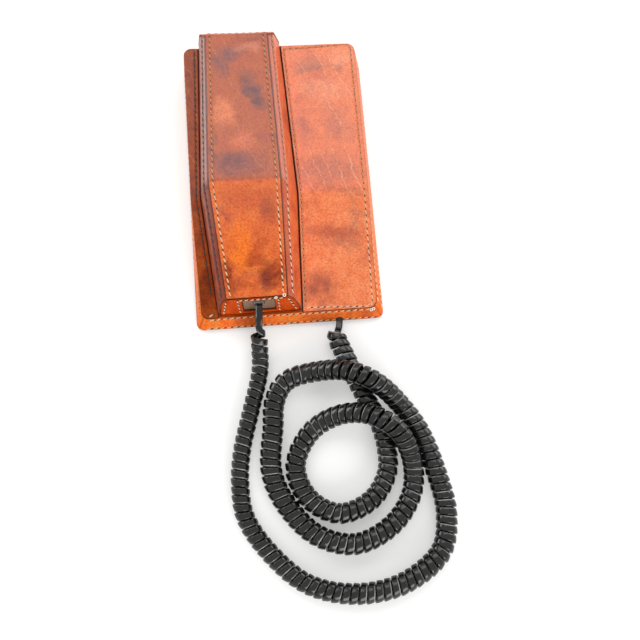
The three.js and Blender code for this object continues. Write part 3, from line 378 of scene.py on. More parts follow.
centre, theta, reach, where, ahead = (
    read_at(samples, density, values)
    for values in (middle, angle, radius, run, np.gradient(middle, run, axis=0)))
theta, ahead = theta + np.pi / 2, unit(ahead)
side = unit(np.cross(ahead, [0, 0, 1.0]))
outwards = np.cos(theta)[:, None] * side + np.sin(theta)[:, None] * np.cross(side, ahead)
strand = centre + reach[:, None] * outwards
bend = np.gradient(np.unwrap(np.arctan2(ahead[:, 1], ahead[:, 0])), where)
travel = unit(np.gradient(strand, axis=0))
width_way = unit(np.cross(outwards, travel))
thick_way = np.cross(travel, width_way)
squeeze = 1 + bend * (np.einsum("ij,ij->i", strand - centre, side))
half_width = RIBBON_HALF_WIDTH * np.clip(squeeze, TIGHTEST, WIDEST)
print("turns", round(angle[-1] / (2 * np.pi)), "samples", len(samples),
      "squeeze", squeeze.min().round(2))

# %% [markdown]
# The ribbon's section is a flat bar with small round corners. Two more points stand on each
# broad face, which is domed a little, so that smooth shading turns mostly at the corners and a
# lamp's reflection stays a stripe. The section leans a few degrees, as wound ribbon does.

# %% Section of the ribbon
RIBBON_CORNER = 0.6
RIBBON_DOME = 0.16
RIBBON_TILT = math.radians(9)
FULL_TILT_FROM = 4
# Points of the section that carry the painted highlight
GLINT_POINTS = (7, 8)

corner_turn = np.radians([0, 45, 90])
corner_x = 1 - RIBBON_CORNER / RIBBON_HALF_WIDTH * (1 - np.cos(corner_turn))
corner_y = 1 - RIBBON_CORNER / RIBBON_HALF_THICK * (1 - np.sin(corner_turn))
corner_x, corner_y = np.append(corner_x, [0.6, 0.2]), np.append(corner_y, [1.0, 1.0])
corner_y = corner_y * (1 - RIBBON_DOME * corner_x ** 2)
round_x = np.concatenate([corner_x, -corner_x[::-1], -corner_x, corner_x[::-1]])
round_y = np.concatenate([corner_y, corner_y[::-1], -corner_y, -corner_y[::-1]])
RIBBON_SIDES = len(round_x)
tilt = (RIBBON_TILT * np.minimum(1, reach / FULL_TILT_FROM))[:, None]
across = np.cos(tilt) * width_way + np.sin(tilt) * thick_way
through = np.cos(tilt) * thick_way - np.sin(tilt) * width_way
skin = (strand[:, None, :]
        + (half_width[:, None] * round_x[None])[..., None] * across[:, None, :]
        + (RIBBON_HALF_THICK * round_y)[None, :, None] * through[:, None, :])
print("lowest point of the strand, mm", round(float(skin[:, :, 2].min()), 2))

# %% [markdown]
# The leads are separate pieces that meet the coil end to end, because the one at the handset
# has to stretch when the handset is lifted, while the coil stays on the table. The painted
# highlight on the ribbon's corner comes and goes as the product of two slow waves along the
# strand.

# %% Cut the strand into lead, coil and lead
coil_start = int(np.searchsorted(where, HANDSET_LEAD_RUN))
coil_end = int(np.searchsorted(where, run[-1] - BASE_LEAD_RUN))
flicker = np.clip(0.35 + 0.9 * np.sin(where * 0.71) * np.sin(where * 0.37 + 1), 0.05, 1)
on_glint_corner = np.isin(np.arange(RIBBON_SIDES), GLINT_POINTS).astype(float)


def strand_piece(name, first, last):
    rings = skin[first:last + 1]
    # How far each turn faces up: the share of the painted sheen.
    facing = np.repeat(outwards[first:last + 1, 2], RIBBON_SIDES)
    # Painted highlight on the ribbon's corner: only on turns that face up, and coming and going
    # with the two waves.
    glint = (np.clip(outwards[:, 2], 0, 1) * flicker)[first:last + 1, None] * on_glint_corner[None]
    return make_piece(name, rings.reshape(-1, 3), tube_faces(len(rings), RIBBON_SIDES),
                      cord_pvc, None, {"upward": facing, "rubbed": glint.ravel()})


coil = strand_piece("curly_cord_coil", coil_start, coil_end)
handset_lead = strand_piece("curly_cord_handset_lead", 0, coil_start)
base_lead = strand_piece("curly_cord_base_lead", coil_end, len(samples) - 1)
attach(coil, "base")
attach(base_lead, "base")
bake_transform(handset_lead)
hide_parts("coiled_cord")

# %% [markdown]
# ## Leather: the finish
# Thick cowhide tanned with bark, dyed tan by hand, stained darker in clouds and waxed. It shows
# fine grain, cloudy stains, thin pale creases that slant across the hide, and a satin gloss that
# turns milky where a window reflects in it. Cut edges are burnished brown, and some are inked
# black. A photograph of leather could be wrapped round each panel, but it would stretch and
# show its joins, and noise in the object's own coordinates runs on over bends and corners.
# Three numbers are stored on each point: the distance to the sheet's rim, the distance to an
# inked edge, and how far the dye is worn off.

# %% Patterns of a hide
# Each noise: size in mm, detail, roughness, distortion. The grain of a real hide is finer; it
# is drawn at 1.3 mm so that it shows at this distance.
GRAIN_MM = 1.3
HIDE_NOISE = {
    "mottle": (7.0, 6.0, 0.62, 0.5), "cloud": (34.0, 4.0, 0.6, 0.8),
    "grain": (GRAIN_MM, 5.0, 0.7, 0.0), "wide": (20.4, 3.0, 0.5, 0.4),
    "wobble": (16.0, 7.0, 0.68, 0.0), "sway": (45.0, 2.0, 0.5, 0.0),
    "jag": (5.0, 3.0, 0.6, 0.0)}
WOBBLE_MM, SWAY_MM = 22, 20
FOLD_Y = -16.5
FOLD_EDGES = ((FOLD_Y - 1.5) * MM, (FOLD_Y + 1.5) * MM)
SMOOTH = {"interpolation_type": "SMOOTHSTEP"}


def hide_patterns(material, shift):
    """The noises of one hide by name, its pores, its y, the share behind the fold, and the place
    itself, shaken by two of the noises: place + a noise's three channels times a size."""
    place = add_node(material, "TexCoord", result="Object")
    moved = add_node(material, "Mapping", {"Vector": place, "Location": shift})
    pattern = {key: add_node(material, "TexNoise", {
        "Vector": moved, "Scale": 1 / (size_mm * MM), "Detail": detail,
        "Roughness": rough, "Distortion": distortion})
        for key, (size_mm, detail, rough, distortion) in HIDE_NOISE.items()}
    for key, noise, size_mm in (("swayed", "sway", SWAY_MM), ("shaken", "wobble", WOBBLE_MM)):
        pattern[key] = add_node(material, "VectorMath", (
            pattern[noise].node.outputs["Color"], (size_mm * MM,) * 3, place),
            operation="MULTIPLY_ADD")
    pattern["pores"] = add_node(material, "TexVoronoi", {
        "Vector": moved, "Scale": 1 / (GRAIN_MM * MM)})
    pattern["along_y"] = add_node(material, "SeparateXYZ", (place,), "Y")
    pattern["behind_fold"] = add_node(material, "MapRange", (
        pattern["along_y"], *FOLD_EDGES), **SMOOTH)
    return pattern


# %% [markdown]
# Bent leather keeps fine pale creases. On the deck they slant all one way, jagged and broken.
# The edges of a cell texture give closed cells like crazed paint, and contour lines of a noise
# look like scribbles. So the creases are straight lines, 8 mm apart in coordinates that are
# turned and stretched, which a slow noise sways and a quick one makes jagged.

# %% Creases across a hide
CREASE_MM = 8.0
CREASE_CORE_MM, CREASE_FADE_MM = 0.1, 0.7
CREASE_BREAK_MM = 5.6
CREASE_SLANT = math.radians(23)
CREASE_STRETCH = 7.0
CREASE_JAG_MM = 5.0


def creases(material, pattern, creased):
    """creased * (1 near a line, 0 away from it) * a stretched noise that breaks the lines up
    * a quarter in front of the fold. The distance to the nearest line is a zigzag, PINGPONG,
    of x + the jagging noise."""
    slanted = add_node(material, "Mapping", {
        "Vector": pattern["swayed"], "Rotation": (0, 0, CREASE_SLANT),
        "Scale": (1.0, CREASE_STRETCH, 1.0)}, vector_type="TEXTURE")
    jagged = add_node(material, "Math", (
        pattern["jag"], CREASE_JAG_MM * MM, add_node(material, "SeparateXYZ", (slanted,), "X")),
        operation="MULTIPLY_ADD")
    from_line = add_node(material, "Math", (jagged, CREASE_MM / 2 * MM), operation="PINGPONG")
    broken = add_node(material, "TexNoise", {
        "Vector": slanted, "Scale": 1 / (CREASE_BREAK_MM * MM), "Detail": 1.0})
    crease = add_node(material, "MapRange", (
        from_line, CREASE_CORE_MM * MM, CREASE_FADE_MM * MM, creased, 0.0), **SMOOTH)
    for source, *limits in ((broken, 0.42, 0.62), (pattern["behind_fold"], 0.0, 1.0, 0.25, 1.0)):
        part = add_node(material, "MapRange", (source, *limits), **SMOOTH)
        crease = add_node(material, "Math", (crease, part), operation="MULTIPLY")
    return crease


# %% [markdown]
# The dye is built up as a saddler does it: tan all over, lighter and deeper clouds, pools where
# more of it soaked in, then the worn and inked edges. A colour ramp could hold a few tones
# of one noise, but coats let each tone have a pattern and an edge of its own.

# %% Dye in coats


def dye_hide(material, pattern, light, deep, stain, stain_from, behind, pools):
    """Coats over tan: light tan by a mottle, deep tan by a wider noise, grey-brown stain where
    the cloud passes stain_from. behind multiplies the colour behind the fold. A pool is an oval
    of dye: x, y, its two radii, its turn in degrees, its share at the middle and its colour."""
    mottle = pattern["mottle"]
    coat(material, mottle, (0.35, 0.68), light, curve="SMOOTHSTEP")
    coat(material, pattern["wide"], (0.52, 0.75, 0, 0.75), deep, curve="SMOOTHSTEP")
    coat(material, pattern["cloud"], (stain_from, stain_from + 0.16, 0, 0.62), stain,
         curve="SMOOTHSTEP")
    coat(material, pattern["behind_fold"], (0, 1), behind, "MULTIPLY")
    patchy = add_node(material, "MapRange", (mottle, 0.3, 0.6, 0.45, 1.0), **SMOOTH)
    for x, y, radius_x, radius_y, turned, strength, dye in pools:
        local = add_node(material, "Mapping", {
            "Vector": pattern["shaken"], "Rotation": (0, 0, math.radians(turned)),
            "Location": ((x + WOBBLE_MM / 2) * MM, (y + WOBBLE_MM / 2) * MM, 0),
            "Scale": (radius_x * MM, radius_y * MM, 1.0)}, vector_type="TEXTURE")
        away = add_node(material, "VectorMath", (local,), "Value", operation="LENGTH")
        pool = add_node(material, "MapRange", (away, 0.2, 1.0, strength, 0.0), **SMOOTH)
        pool = add_node(material, "Math", (pool, patchy), operation="MULTIPLY")
        coat(material, pool, (0, 1), dye)
    coat(material, pattern["crease"], (0, 1), "#FFB48C")
    coat(material, pattern["grain"], (0.3, 0.62, 0.55, 0.0), "#A85E46", "MULTIPLY",
         "SMOOTHSTEP")
    for mark, limits, dye, kind, curve in (
            ("worn", (0, 1), "#D8C2B8", "MULTIPLY", "LINEAR"),
            ("edge_mm", (0.1, 1.0, 0.3, 0.0), "#7A3A1E", "MIX", "SMOOTHSTEP"),
            ("edge_mm", (0.0, 0.08, 0.75, 0.0), "#8A4220", "MIX", "SMOOTHSTEP"),
            ("ink_mm", (0.4, 0.8, 0.92, 0.0), "#1E1613", "MIX", "SMOOTHSTEP")):
        stored = add_node(material, "Attribute", result="Fac", attribute_name=mark)
        coat(material, stored, limits, dye, kind, curve)


# %% [markdown]
# The wax decides how the leather shines. It is thin and rubbed, so the gloss is a little rougher
# in patches, and it is duller on the panels in front of the fold. Four bumps lie one on the
# other: the soft unevenness of the hide, its creases, its grain and its pores.

# %% Wax, and the whole hide
HIDE_ROUGHNESS = 0.38
DULL_EDGES = (-70 * MM, -20 * MM)


def wax_hide(material, pattern, gloss, dull_front):
    """Gloss, multiplied by dull_front in front; roughness + a mottle; bumps, each on the last."""
    link(material, add_node(material, "MapRange", (
        pattern["along_y"], *DULL_EDGES, gloss * dull_front, gloss), **SMOOTH),
        "Specular IOR Level")
    uneven = add_node(material, "MapRange", (pattern["mottle"], 0.3, 0.7, -0.05, 0.06), **SMOOTH)
    link(material, add_node(material, "Math", (uneven, HIDE_ROUGHNESS), operation="ADD"),
         "Roughness")
    normal = {}
    for key, strength, depth_mm in (("mottle", 0.12, 1.2), ("crease", 0.5, 0.4),
                                    ("grain", 0.34, 0.4), ("pores", 0.10, 0.3)):
        normal = {"Normal": add_node(material, "Bump", {
            "Height": pattern[key], "Strength": strength, "Distance": depth_mm * MM, **normal})}
    link(material, normal["Normal"], "Normal")


def tanned_cowhide(name, tan, light, deep, stain, stain_from, shift, gloss=0.5,
                   behind="#FFFFFF", pools=(), creased=0.0, dull_front=1.0):
    """One hide: its patterns, its dye and its wax."""
    material = new_material(name, base_color=tan, roughness=HIDE_ROUGHNESS)
    pattern = hide_patterns(material, shift)
    pattern["crease"] = creases(material, pattern, creased)
    dye_hide(material, pattern, light, deep, stain, stain_from, behind, pools)
    wax_hide(material, pattern, gloss, dull_front)
    return material


# %% [markdown]
# No two panels of the real telephone took the dye alike: the deck is light and creased, the
# front band orange. The handset's left side and the strip left of the trough are nearly
# mahogany, a darker tan that stands for painted shade on the side away from the lamps. So each
# panel gets a hide of its own, from one function with other colours and another place in the
# noise. The largest stains can't be left to chance, so ovals of dye stand where they are on
# the real one.

# %% The hides
DECK_POOLS = [
    (21, -78, 18, 14, 0, 0.85, "#9E3C22"), (34, -43, 30, 7, -8, 0.75, "#B44624"),
    (34, 0, 36, 17, 0, 0.72, "#B8604A"), (42, 34, 14, 22, 20, 0.5, "#B0624E"),
    (26, 80, 18, 8, 8, 0.6, "#A8624E"), (18, 30, 8, 20, 10, 0.5, "#B8604A"),
    (34, 60, 26, 11, 0, 0.5, "#FFA478"), (52, 84, 14, 10, 0, 0.5, "#FFA478")]
BACK_POOLS = [
    (-12.3, 50, 8, 24, 25, 0.95, "#5A383E"), (-26, 80, 14, 9, 0, 0.85, "#6E444A"),
    (-34, 72, 8, 14, 0, 0.7, "#74484A"), (-28, -5, 22, 11, -6, 0.9, "#743E40"),
    (-33, 34, 11, 16, 0, 0.9, "#F58C54"), (-20, 12, 10, 12, 0, 0.8, "#E8784C"),
    (-40, 5, 5, 22, 0, 0.6, "#6E4244"), (-14, 84, 14, 6, 0, 0.6, "#E8906C"),
    (-8, -34, 8, 16, 0, 0.7, "#9A4030"), (-9, -72, 12, 11, 30, 0.9, "#74200F"),
    (-28, -56, 13, 20, 0, 1.0, "#FF8228"), (-37, -74, 6, 16, 0, 0.9, "#8E3014"),
    (-20, -64, 9, 6, 0, 0.75, "#9C3A14"), (-26, -80, 14, 4, 0, 0.5, "#A84418"),
    (-26, -26, 20, 10, 0, 0.5, "#C0542E")]
BAND_POOLS = [
    (-54, -99, 10, 5, 0, 0.6, "#FF9A38"), (-30, -98, 14, 5, 0, 0.6, "#B84A18"),
    (-4, -98, 11, 5, 0, 0.55, "#FF9434"), (20, -98, 14, 5, 0, 0.45, "#D05A1E"),
    (55, -99, 10, 8, 0, 0.6, "#C8501E")]
deck_hide = tanned_cowhide(
    "cowhide_deck", "#F57F44", "#FD935A", "#CC5829", "#A05A42", 0.58, (0.11, 0.05, 0.02),
    gloss=0.68, behind="#F6E8E4", pools=DECK_POOLS, creased=0.55)
band_hide = tanned_cowhide(
    "cowhide_band", "#FF7426", "#FF8636", "#D85A1C", "#B8562A", 0.62, (0.31, 0.22, 0.07),
    gloss=0.12, pools=BAND_POOLS)
back_hide = tanned_cowhide(
    "cowhide_handset_back", "#E66C34", "#EE7E3E", "#BC4A22", "#7A444A", 0.58,
    (0.52, 0.41, 0.13), gloss=0.56, behind="#CDC8D4", pools=BACK_POOLS, creased=0.12,
    dull_front=0.3)
side_hide = tanned_cowhide(
    "cowhide_handset_right", "#E46430", "#EE7C42", "#B84420", "#8A5040", 0.64,
    (0.77, 0.12, 0.31), gloss=0.8)
# Darker tan: painted shade on the handset's left side, which faces away from the lamps.
left_hide_painted_shade = tanned_cowhide(
    "cowhide_handset_left_painted_shade", "#963E20", "#AE5632", "#78301A", "#583028", 0.60,
    (0.77, 0.62, 0.31), gloss=0.8, dull_front=0.45)
# Darker tan: painted shade on the strip left of the trough, beside the handset.
strip_hide_painted_shade = tanned_cowhide(
    "cowhide_left_strip_painted_shade", "#9C431A", "#B25620", "#70280C", "#4C221A", 0.54,
    (0.41, 0.62, 0.11), gloss=0.3, creased=0.15, dull_front=0.2)
sill_hide = tanned_cowhide(
    "cowhide_sill", "#C4561C", "#D86A24", "#9A3E14", "#7A3418", 0.60, (0.21, 0.32, 0.17),
    gloss=0.1)
end_hide = tanned_cowhide(
    "cowhide_handset_end", "#CC4408", "#E05C14", "#9E2C08", "#7A2C14", 0.57,
    (0.17, 0.32, 0.51), gloss=0.05)
print("hides", sum(material.name.startswith("cowhide") for material in bpy.data.materials))

# %% [markdown]
# ## Leather: the lines of the base and the handset
# Both wedges have one fold across them. Every height and every long edge is therefore two
# straight runs that meet at the fold, and the leather bends softly there. They are functions
# of Y, so that a sheet, a seam and a row of stitches all read the same line.

# %% Heights and edges as functions of Y
FOLD_SOFTNESS = 1.6
DECK_FRONT, DECK_REAR = -94.5, 96.0
BACK_FRONT, BACK_REAR = -87.3, 96.0
BACK_FRONT_Z = 27.0
DECK_HALF, FOOT_HALF, FOOT_END, SKIRT = 60.0, 65.0, 101.0, 2.5
CORNER = 5.0
HIDE = 1.4
SEAM = 0.3


def folding(front_y, front, fold, rear_y, rear):
    """A function of y: value at the fold + mean slope * t + half the change of slope
    * sqrt(t^2 + softness^2), where t is the distance behind the fold."""
    rear_slope = (rear - fold) / (rear_y - FOLD_Y)
    front_slope = (fold - front) / (FOLD_Y - front_y)

    def value(y):
        t = np.asarray(y, float) - FOLD_Y
        return (fold + (rear_slope + front_slope) / 2 * t
                + (rear_slope - front_slope) / 2 * np.sqrt(t * t + FOLD_SOFTNESS ** 2))
    return value


deck_height = folding(DECK_FRONT, 9.5, 30.0, DECK_REAR, 30.0)
trough_right = folding(DECK_FRONT, 8.4, 11.8, DECK_REAR, 7.5)
trough_left = folding(DECK_FRONT, -49.0, -53.8, DECK_REAR, -50.0)
back_height = folding(BACK_FRONT, BACK_FRONT_Z, 53.0, BACK_REAR, 43.5)
back_right = folding(BACK_FRONT, -0.2, 1.9, BACK_REAR, -0.4)
back_left = folding(BACK_FRONT, -41.0, -44.7, BACK_REAR, -42.7)


def inner_face(y):
    """Level at 16.2 behind the knee, then down to 8.5 at the deck's front edge."""
    return 16.2 - 7.7 * np.clip((-45.0 - np.asarray(y, float)) / 49.5, 0, 1.2)


print("deck at the front, the fold and the rear, mm",
      deck_height(np.array([DECK_FRONT, FOLD_Y, DECK_REAR])).round(1))

# %% [markdown]
# ## Leather: a sheet
# Each panel is a closed sheet: a grid of points on its outer face, the same grid pushed down by
# the thickness, and walls round the rim. The rim is rounded as a quarter circle, and the leather
# is pulled down in a soft groove along each sewn row and swells a little beside it. A Solidify
# modifier would give the thickness alone; here one edge can also be thinned, and the distances
# to the edges are there for the grooves, the ink and the stitches.

# %% Spacing of a grid
NEAR_RIM = [0, 0.06, 0.22, 0.5, 0.9, 1.5, 2.0, 2.4, 2.8, 3.2, 3.7, 4.6]


def rim_spaced(length, pitch=3.2):
    """Distances from 0 to length, close together near both ends and even between them."""
    near = np.array([d for d in NEAR_RIM if d < length / 2 - 0.2])
    gap = length - 2 * near[-1]
    inner = np.linspace(near[-1], length - near[-1], max(2, int(gap / pitch) + 1) + 1)[1:-1]
    return np.concatenate([near, inner, length - near[::-1]])


def reach_along(grid, axis):
    """Distance run along a grid direction, from each of its two ends."""
    step = np.linalg.norm(np.diff(grid, axis=axis), axis=2)
    pad = [(0, 0), (0, 0)]
    pad[axis] = (1, 0)
    run = np.cumsum(np.pad(step, pad), axis=axis)
    total = run[-1:] if axis == 0 else run[:, -1:]
    return run, total - run


# %% [markdown]
# The faces are quads, listed as whole arrays. A cell can be left out, as under the cord plate,
# and then the wall goes round the hole as it goes round the rim. Cutting the hole afterwards
# would need a cutter for each hole and would spoil the even quads.

# %% Faces of a sheet


def sheet_faces(keep):
    """Quads of the outer face, the same quads of the under face turned over, and a wall at each
    side of a kept cell that has no kept neighbour there."""
    n, m = keep.shape[0] + 1, keep.shape[1] + 1
    ids = np.arange(n * m).reshape(n, m)
    a, b, c, d = (part[keep] for part in (ids[:-1, :-1], ids[1:, :-1], ids[1:, 1:], ids[:-1, 1:]))
    faces = [np.column_stack([a, b, c, d]), np.column_stack([d, c, b, a]) + n * m]
    padded = np.pad(keep, 1)
    for shift_i, shift_j, first, second in ((-1, 0, (0, 1), (0, 0)), (1, 0, (1, 0), (1, 1)),
                                            (0, -1, (0, 0), (1, 0)), (0, 1, (1, 1), (0, 1))):
        beside = padded[1 + shift_i:n + shift_i, 1 + shift_j:m + shift_j]
        i, j = np.nonzero(keep & ~beside)
        p, q = ids[i + first[0], j + first[1]], ids[i + second[0], j + second[1]]
        faces.append(np.column_stack([p, q, q + n * m, p + n * m]))
    return faces


# %% [markdown]
# The sheet first works out how far each point is from each edge, since all else depends on it:
# the round rim, the grooves, a thinned edge, the ink and the worn dye. It then hides the part
# of the imported model that it stands for.

# %% Sheet from a grid
RIM = 0.6
ROW_INSET = 2.8
GROOVE_DEPTH, GROOVE_HALF = 0.32, 0.6
SWELL, SWELL_BESIDE, SWELL_HALF = 0.10, 1.7, 0.8
FEATHER, FEATHER_RUN = 0.2, 1.6
LEAST_THICKNESS = 0.12
WORN_FADE = 1.2
FAR_OFF = 99.0


def hide_sheet(name, node, grid, upwards, material, body, rows=(), inked=(), skived=(),
               worn=None, keep=None, window=None):
    """grid: outer face, (n, m, 3) in mm. rows, inked and skived name edges: u0, u1, v0 or v1. A
    skived edge is thinned to a feather, to lie against another sheet. Within worn mm of u0 the
    dye is rubbed dull. keep is False where a cell is left out, window is the distance from that
    hole. Lift of the outer face = rounding of the rim - grooves + swellings beside them."""
    normal = unit(np.cross(np.gradient(grid, axis=0), np.gradient(grid, axis=1)))
    if np.einsum("ijk,k->", normal, np.asarray(upwards, float)) < 0:
        normal = -normal
    away = dict(zip(("u0", "u1", "v0", "v1"), (*reach_along(grid, 0), *reach_along(grid, 1))))
    edge = np.min(list(away.values()), axis=0)
    if window is not None:
        edge = np.minimum(edge, np.abs(window))
    lift = -(RIM - np.sqrt(np.maximum(RIM ** 2 - np.maximum(RIM - edge, 0) ** 2, 0)))
    for row, inset in rows:
        others = np.min([away[k] for k in away if k[0] != row[0]], axis=0)
        fade = np.clip(others - inset + 1, 0, 1)
        off = away[row] - inset
        lift = lift - GROOVE_DEPTH * fade * np.exp(-(off / GROOVE_HALF) ** 2)
        lift = lift + SWELL * fade * np.exp(-((off - SWELL_BESIDE) / SWELL_HALF) ** 2)
    x, y = grid[..., 0], grid[..., 1]
    waves = SWELL * np.sin(x / 11 + y / 17) * np.sin(y / 13 - x / 19) * np.clip(edge / 4, 0, 1)
    thickness = np.full(edge.shape, HIDE)
    for key in skived:
        thinned = FEATHER + np.clip(away[key] / FEATHER_RUN, 0, 1) * (HIDE - FEATHER)
        thickness = np.minimum(thickness, thinned)
    lift = np.maximum(lift, LEAST_THICKNESS - thickness)
    top = grid + normal * (lift + waves)[..., None]
    under = grid - normal * thickness[..., None]

    if keep is None:
        keep = np.ones((edge.shape[0] - 1, edge.shape[1] - 1), bool)
    faces = sheet_faces(keep)
    ink = np.min([away[k] for k in inked] + [np.full(edge.shape, FAR_OFF)], axis=0)
    marks = {"edge_mm": (edge, 0.0), "ink_mm": (ink, FAR_OFF)}
    if worn:
        marks["worn"] = (np.clip((worn - away["u0"]) / WORN_FADE, 0, 1), 0.0)
    points = np.concatenate([top.reshape(-1, 3), under.reshape(-1, 3)])
    used = np.unique(np.concatenate([f.ravel() for f in faces]))
    renumber = np.zeros(len(points), int)
    renumber[used] = np.arange(len(used))
    piece = make_piece(
        name, points[used], [renumber[f] for f in faces], material, body,
        {key: np.concatenate([above.ravel(), np.full(above.size, below)])[used]
         for key, (above, below) in marks.items()})
    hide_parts(node)
    print(name, len(piece.data.polygons), "faces")
    return {"top": top, "normal": normal, **away}


# %% [markdown]
# A row of stitches keeps its distance from an edge as a saddler's groover does. The line is
# found on the sheet itself, so it follows every fold and lies on the leather, not near it.

# %% A row on a sheet


def sewn_row(sheet, edge, inset, start=ROW_INSET, stop=ROW_INSET):
    """The line on a sheet that keeps a distance from one edge, between distances from the ends."""
    ends = ("v0", "v1") if edge[0] == "u" else ("u0", "u1")
    grids = [sheet[key] for key in (edge, *ends, "top", "normal")]
    if edge[0] == "v":
        grids = [grid.swapaxes(0, 1) for grid in grids]
    if edge[1] == "1":
        grids = [grid[::-1] for grid in grids]
    across, near, far, top, normal = grids
    i = np.clip((across < inset).sum(axis=0), 1, len(across) - 1)
    j = np.arange(across.shape[1])
    low, high = across[i - 1, j], across[i, j]
    f = np.clip((inset - low) / np.maximum(high - low, 1e-9), 0, 1)

    def at(values):
        g = f if values.ndim == 2 else f[:, None]
        return values[i - 1, j] * (1 - g) + values[i, j] * g

    inside = (at(near) >= start - 0.05) & (at(far) >= stop - 0.05)
    return at(top)[inside], unit(at(normal)[inside])


# %% [markdown]
# ## Leather on the deck
# The deck right of the trough is one panel, and a narrow strip lies left of it. Both bend over
# the fold. Their outer corners are rounded by drawing the long edge in over the last few
# millimetres, as a circle's arc does. A plane bent with a Lattice would leave the seam's line;
# the height function keeps every point of both panels on the same fold.

# %% Deck panel and left strip
UP = (0, 0, 1)
DECK_WIDTH, STRIP_WIDTH = 50, 9
STRIP_ROW = 2.4
RECESS_ROW = 2.0
deck_y = rim_spaced(DECK_REAR - DECK_FRONT) + DECK_FRONT


def drawn_in(y):
    """How far a rounded corner pulls the long edge in: r - sqrt(r^2 - (r - d)^2) near an end."""
    d = np.minimum(y - DECK_FRONT, DECK_REAR - y)
    short = np.clip(CORNER - d, 0, CORNER)
    return CORNER - np.sqrt(CORNER ** 2 - short ** 2)


def between(left, right, width, y, z):
    """Grid from a left edge to a right edge, given at each y and z: points that share out the
    way between them as the points of a panel of that width."""
    x = left[None] + (right - left)[None] * (rim_spaced(width) / width)[:, None]
    return np.stack([x, np.broadcast_to(y, x.shape), np.broadcast_to(z, x.shape)], axis=2)


deck = hide_sheet(
    "leather_deck", "deck_leather",
    between(trough_right(deck_y), DECK_HALF - drawn_in(deck_y), DECK_WIDTH, deck_y,
            deck_height(deck_y)),
    UP, deck_hide, "base", inked=("u0",),
    rows=[("u0", RECESS_ROW), ("u1", ROW_INSET), ("v0", ROW_INSET), ("v1", ROW_INSET)])
strip = hide_sheet(
    "leather_left_strip", "left_strip_leather",
    between(drawn_in(deck_y) - DECK_HALF, trough_left(deck_y), STRIP_WIDTH, deck_y,
            deck_height(deck_y)),
    UP, strip_hide_painted_shade, "base", rows=[("u1", STRIP_ROW), ("v0", ROW_INSET)])

# %% [markdown]
# ## Leather round the base
# Four bands stand under the deck panels, one on each side, and meet half way round each corner.
# A band is drawn between the deck's outline above and the wider outline at the foot. It stops
# under the panel above it, except across the trough's mouth, where it reaches the edge itself.
# One long band could run round all four sides, but each of four can end at its own edge and
# follow the flare of its own wall.

# %% Outline of the base and its four bands
HALF_CORNER_STEPS = 5
UNDER_PANEL = 0.35
MOUTH_LEFT, MOUTH_RIGHT, MOUTH_FADE = -49.0, 8.4, 1.5
MIDDLE_Y = (DECK_REAR + DECK_FRONT) / 2
HALF_Y = (DECK_REAR - DECK_FRONT) / 2
# Distance of a band's two sewn rows from its foot and from its head
BAND_ROWS = {"right": (2.2, 2.6), "left": (2.2, 2.6), "front": (1.3, 1.3), "rear": (2.2, 2.6)}


def half_outline(length, half, pitch):
    """Front or side edge of a rounded rectangle, from the middle of one corner to the middle of
    the next: an eighth of a circle, a straight run, an eighth. Runs along the first axis."""
    turn_by = np.linspace(np.pi / 4, 0, HALF_CORNER_STEPS + 1)
    arc_a = CORNER * np.sin(turn_by)
    arc_b = CORNER * (1 - np.cos(turn_by))
    straight = np.linspace(-length + CORNER, length - CORNER, int(2 * length / pitch))
    first = np.column_stack([-length + CORNER - arc_a, half - arc_b])
    last = np.column_stack([length - CORNER + arc_a, half - arc_b])[::-1]
    run = np.column_stack([straight, np.full(len(straight), half)])
    return np.vstack([first[:-1], run, last[1:]]).T


def band_grid(x, y, top_drop):
    """x, y: the deck's outline. Each point is joined to its foot point, and heights between them
    are shares of that line up to the top, which stops a given drop below the deck."""
    top = np.column_stack([x, y, deck_height(y)])
    foot = np.column_stack([x * FOOT_HALF / DECK_HALF, (y - MIDDLE_Y) * FOOT_END / HALF_Y,
                            np.full(len(x), SKIRT)])
    last = 1 - top_drop / (top[:, 2] - SKIRT)
    height = np.median(np.linalg.norm(top - foot, axis=1) * last)
    share = rim_spaced(height) / height
    return foot[:, None] + (top - foot)[:, None] * (share[None] * last[:, None])[..., None]


side_y, side_x = half_outline(HALF_Y, DECK_HALF, 3.0)
front_x, front_y = half_outline(DECK_HALF, HALF_Y, 2.0)
in_mouth = (np.clip((front_x - MOUTH_LEFT) / MOUTH_FADE, 0, 1)
            * np.clip((MOUTH_RIGHT - front_x) / MOUTH_FADE, 0, 1))
band = {}
for place, x, y, out_way, drop, inked in (
        ("right", side_x, side_y + MIDDLE_Y, (1, 0, 0), UNDER_PANEL, ("v0",)),
        ("left", -side_x, side_y + MIDDLE_Y, (-1, 0, 0), UNDER_PANEL, ("v0",)),
        ("front", front_x, MIDDLE_Y - front_y, (0, -1, 0), UNDER_PANEL * (1 - in_mouth), ()),
        ("rear", front_x, MIDDLE_Y + front_y, (0, 1, 0), UNDER_PANEL, ())):
    band[place] = hide_sheet(
        f"leather_band_{place}", f"{place}_leather", band_grid(x, y, drop), out_way, band_hide,
        "base", rows=list(zip(("v0", "v1"), BAND_ROWS[place])), skived=("v1",), inked=inked)

# %% [markdown]
# In front of the handset the band's leather is turned over the sill of the trough. The strip
# fills the valley between the band and the handset's foot, so that no shell shows there.

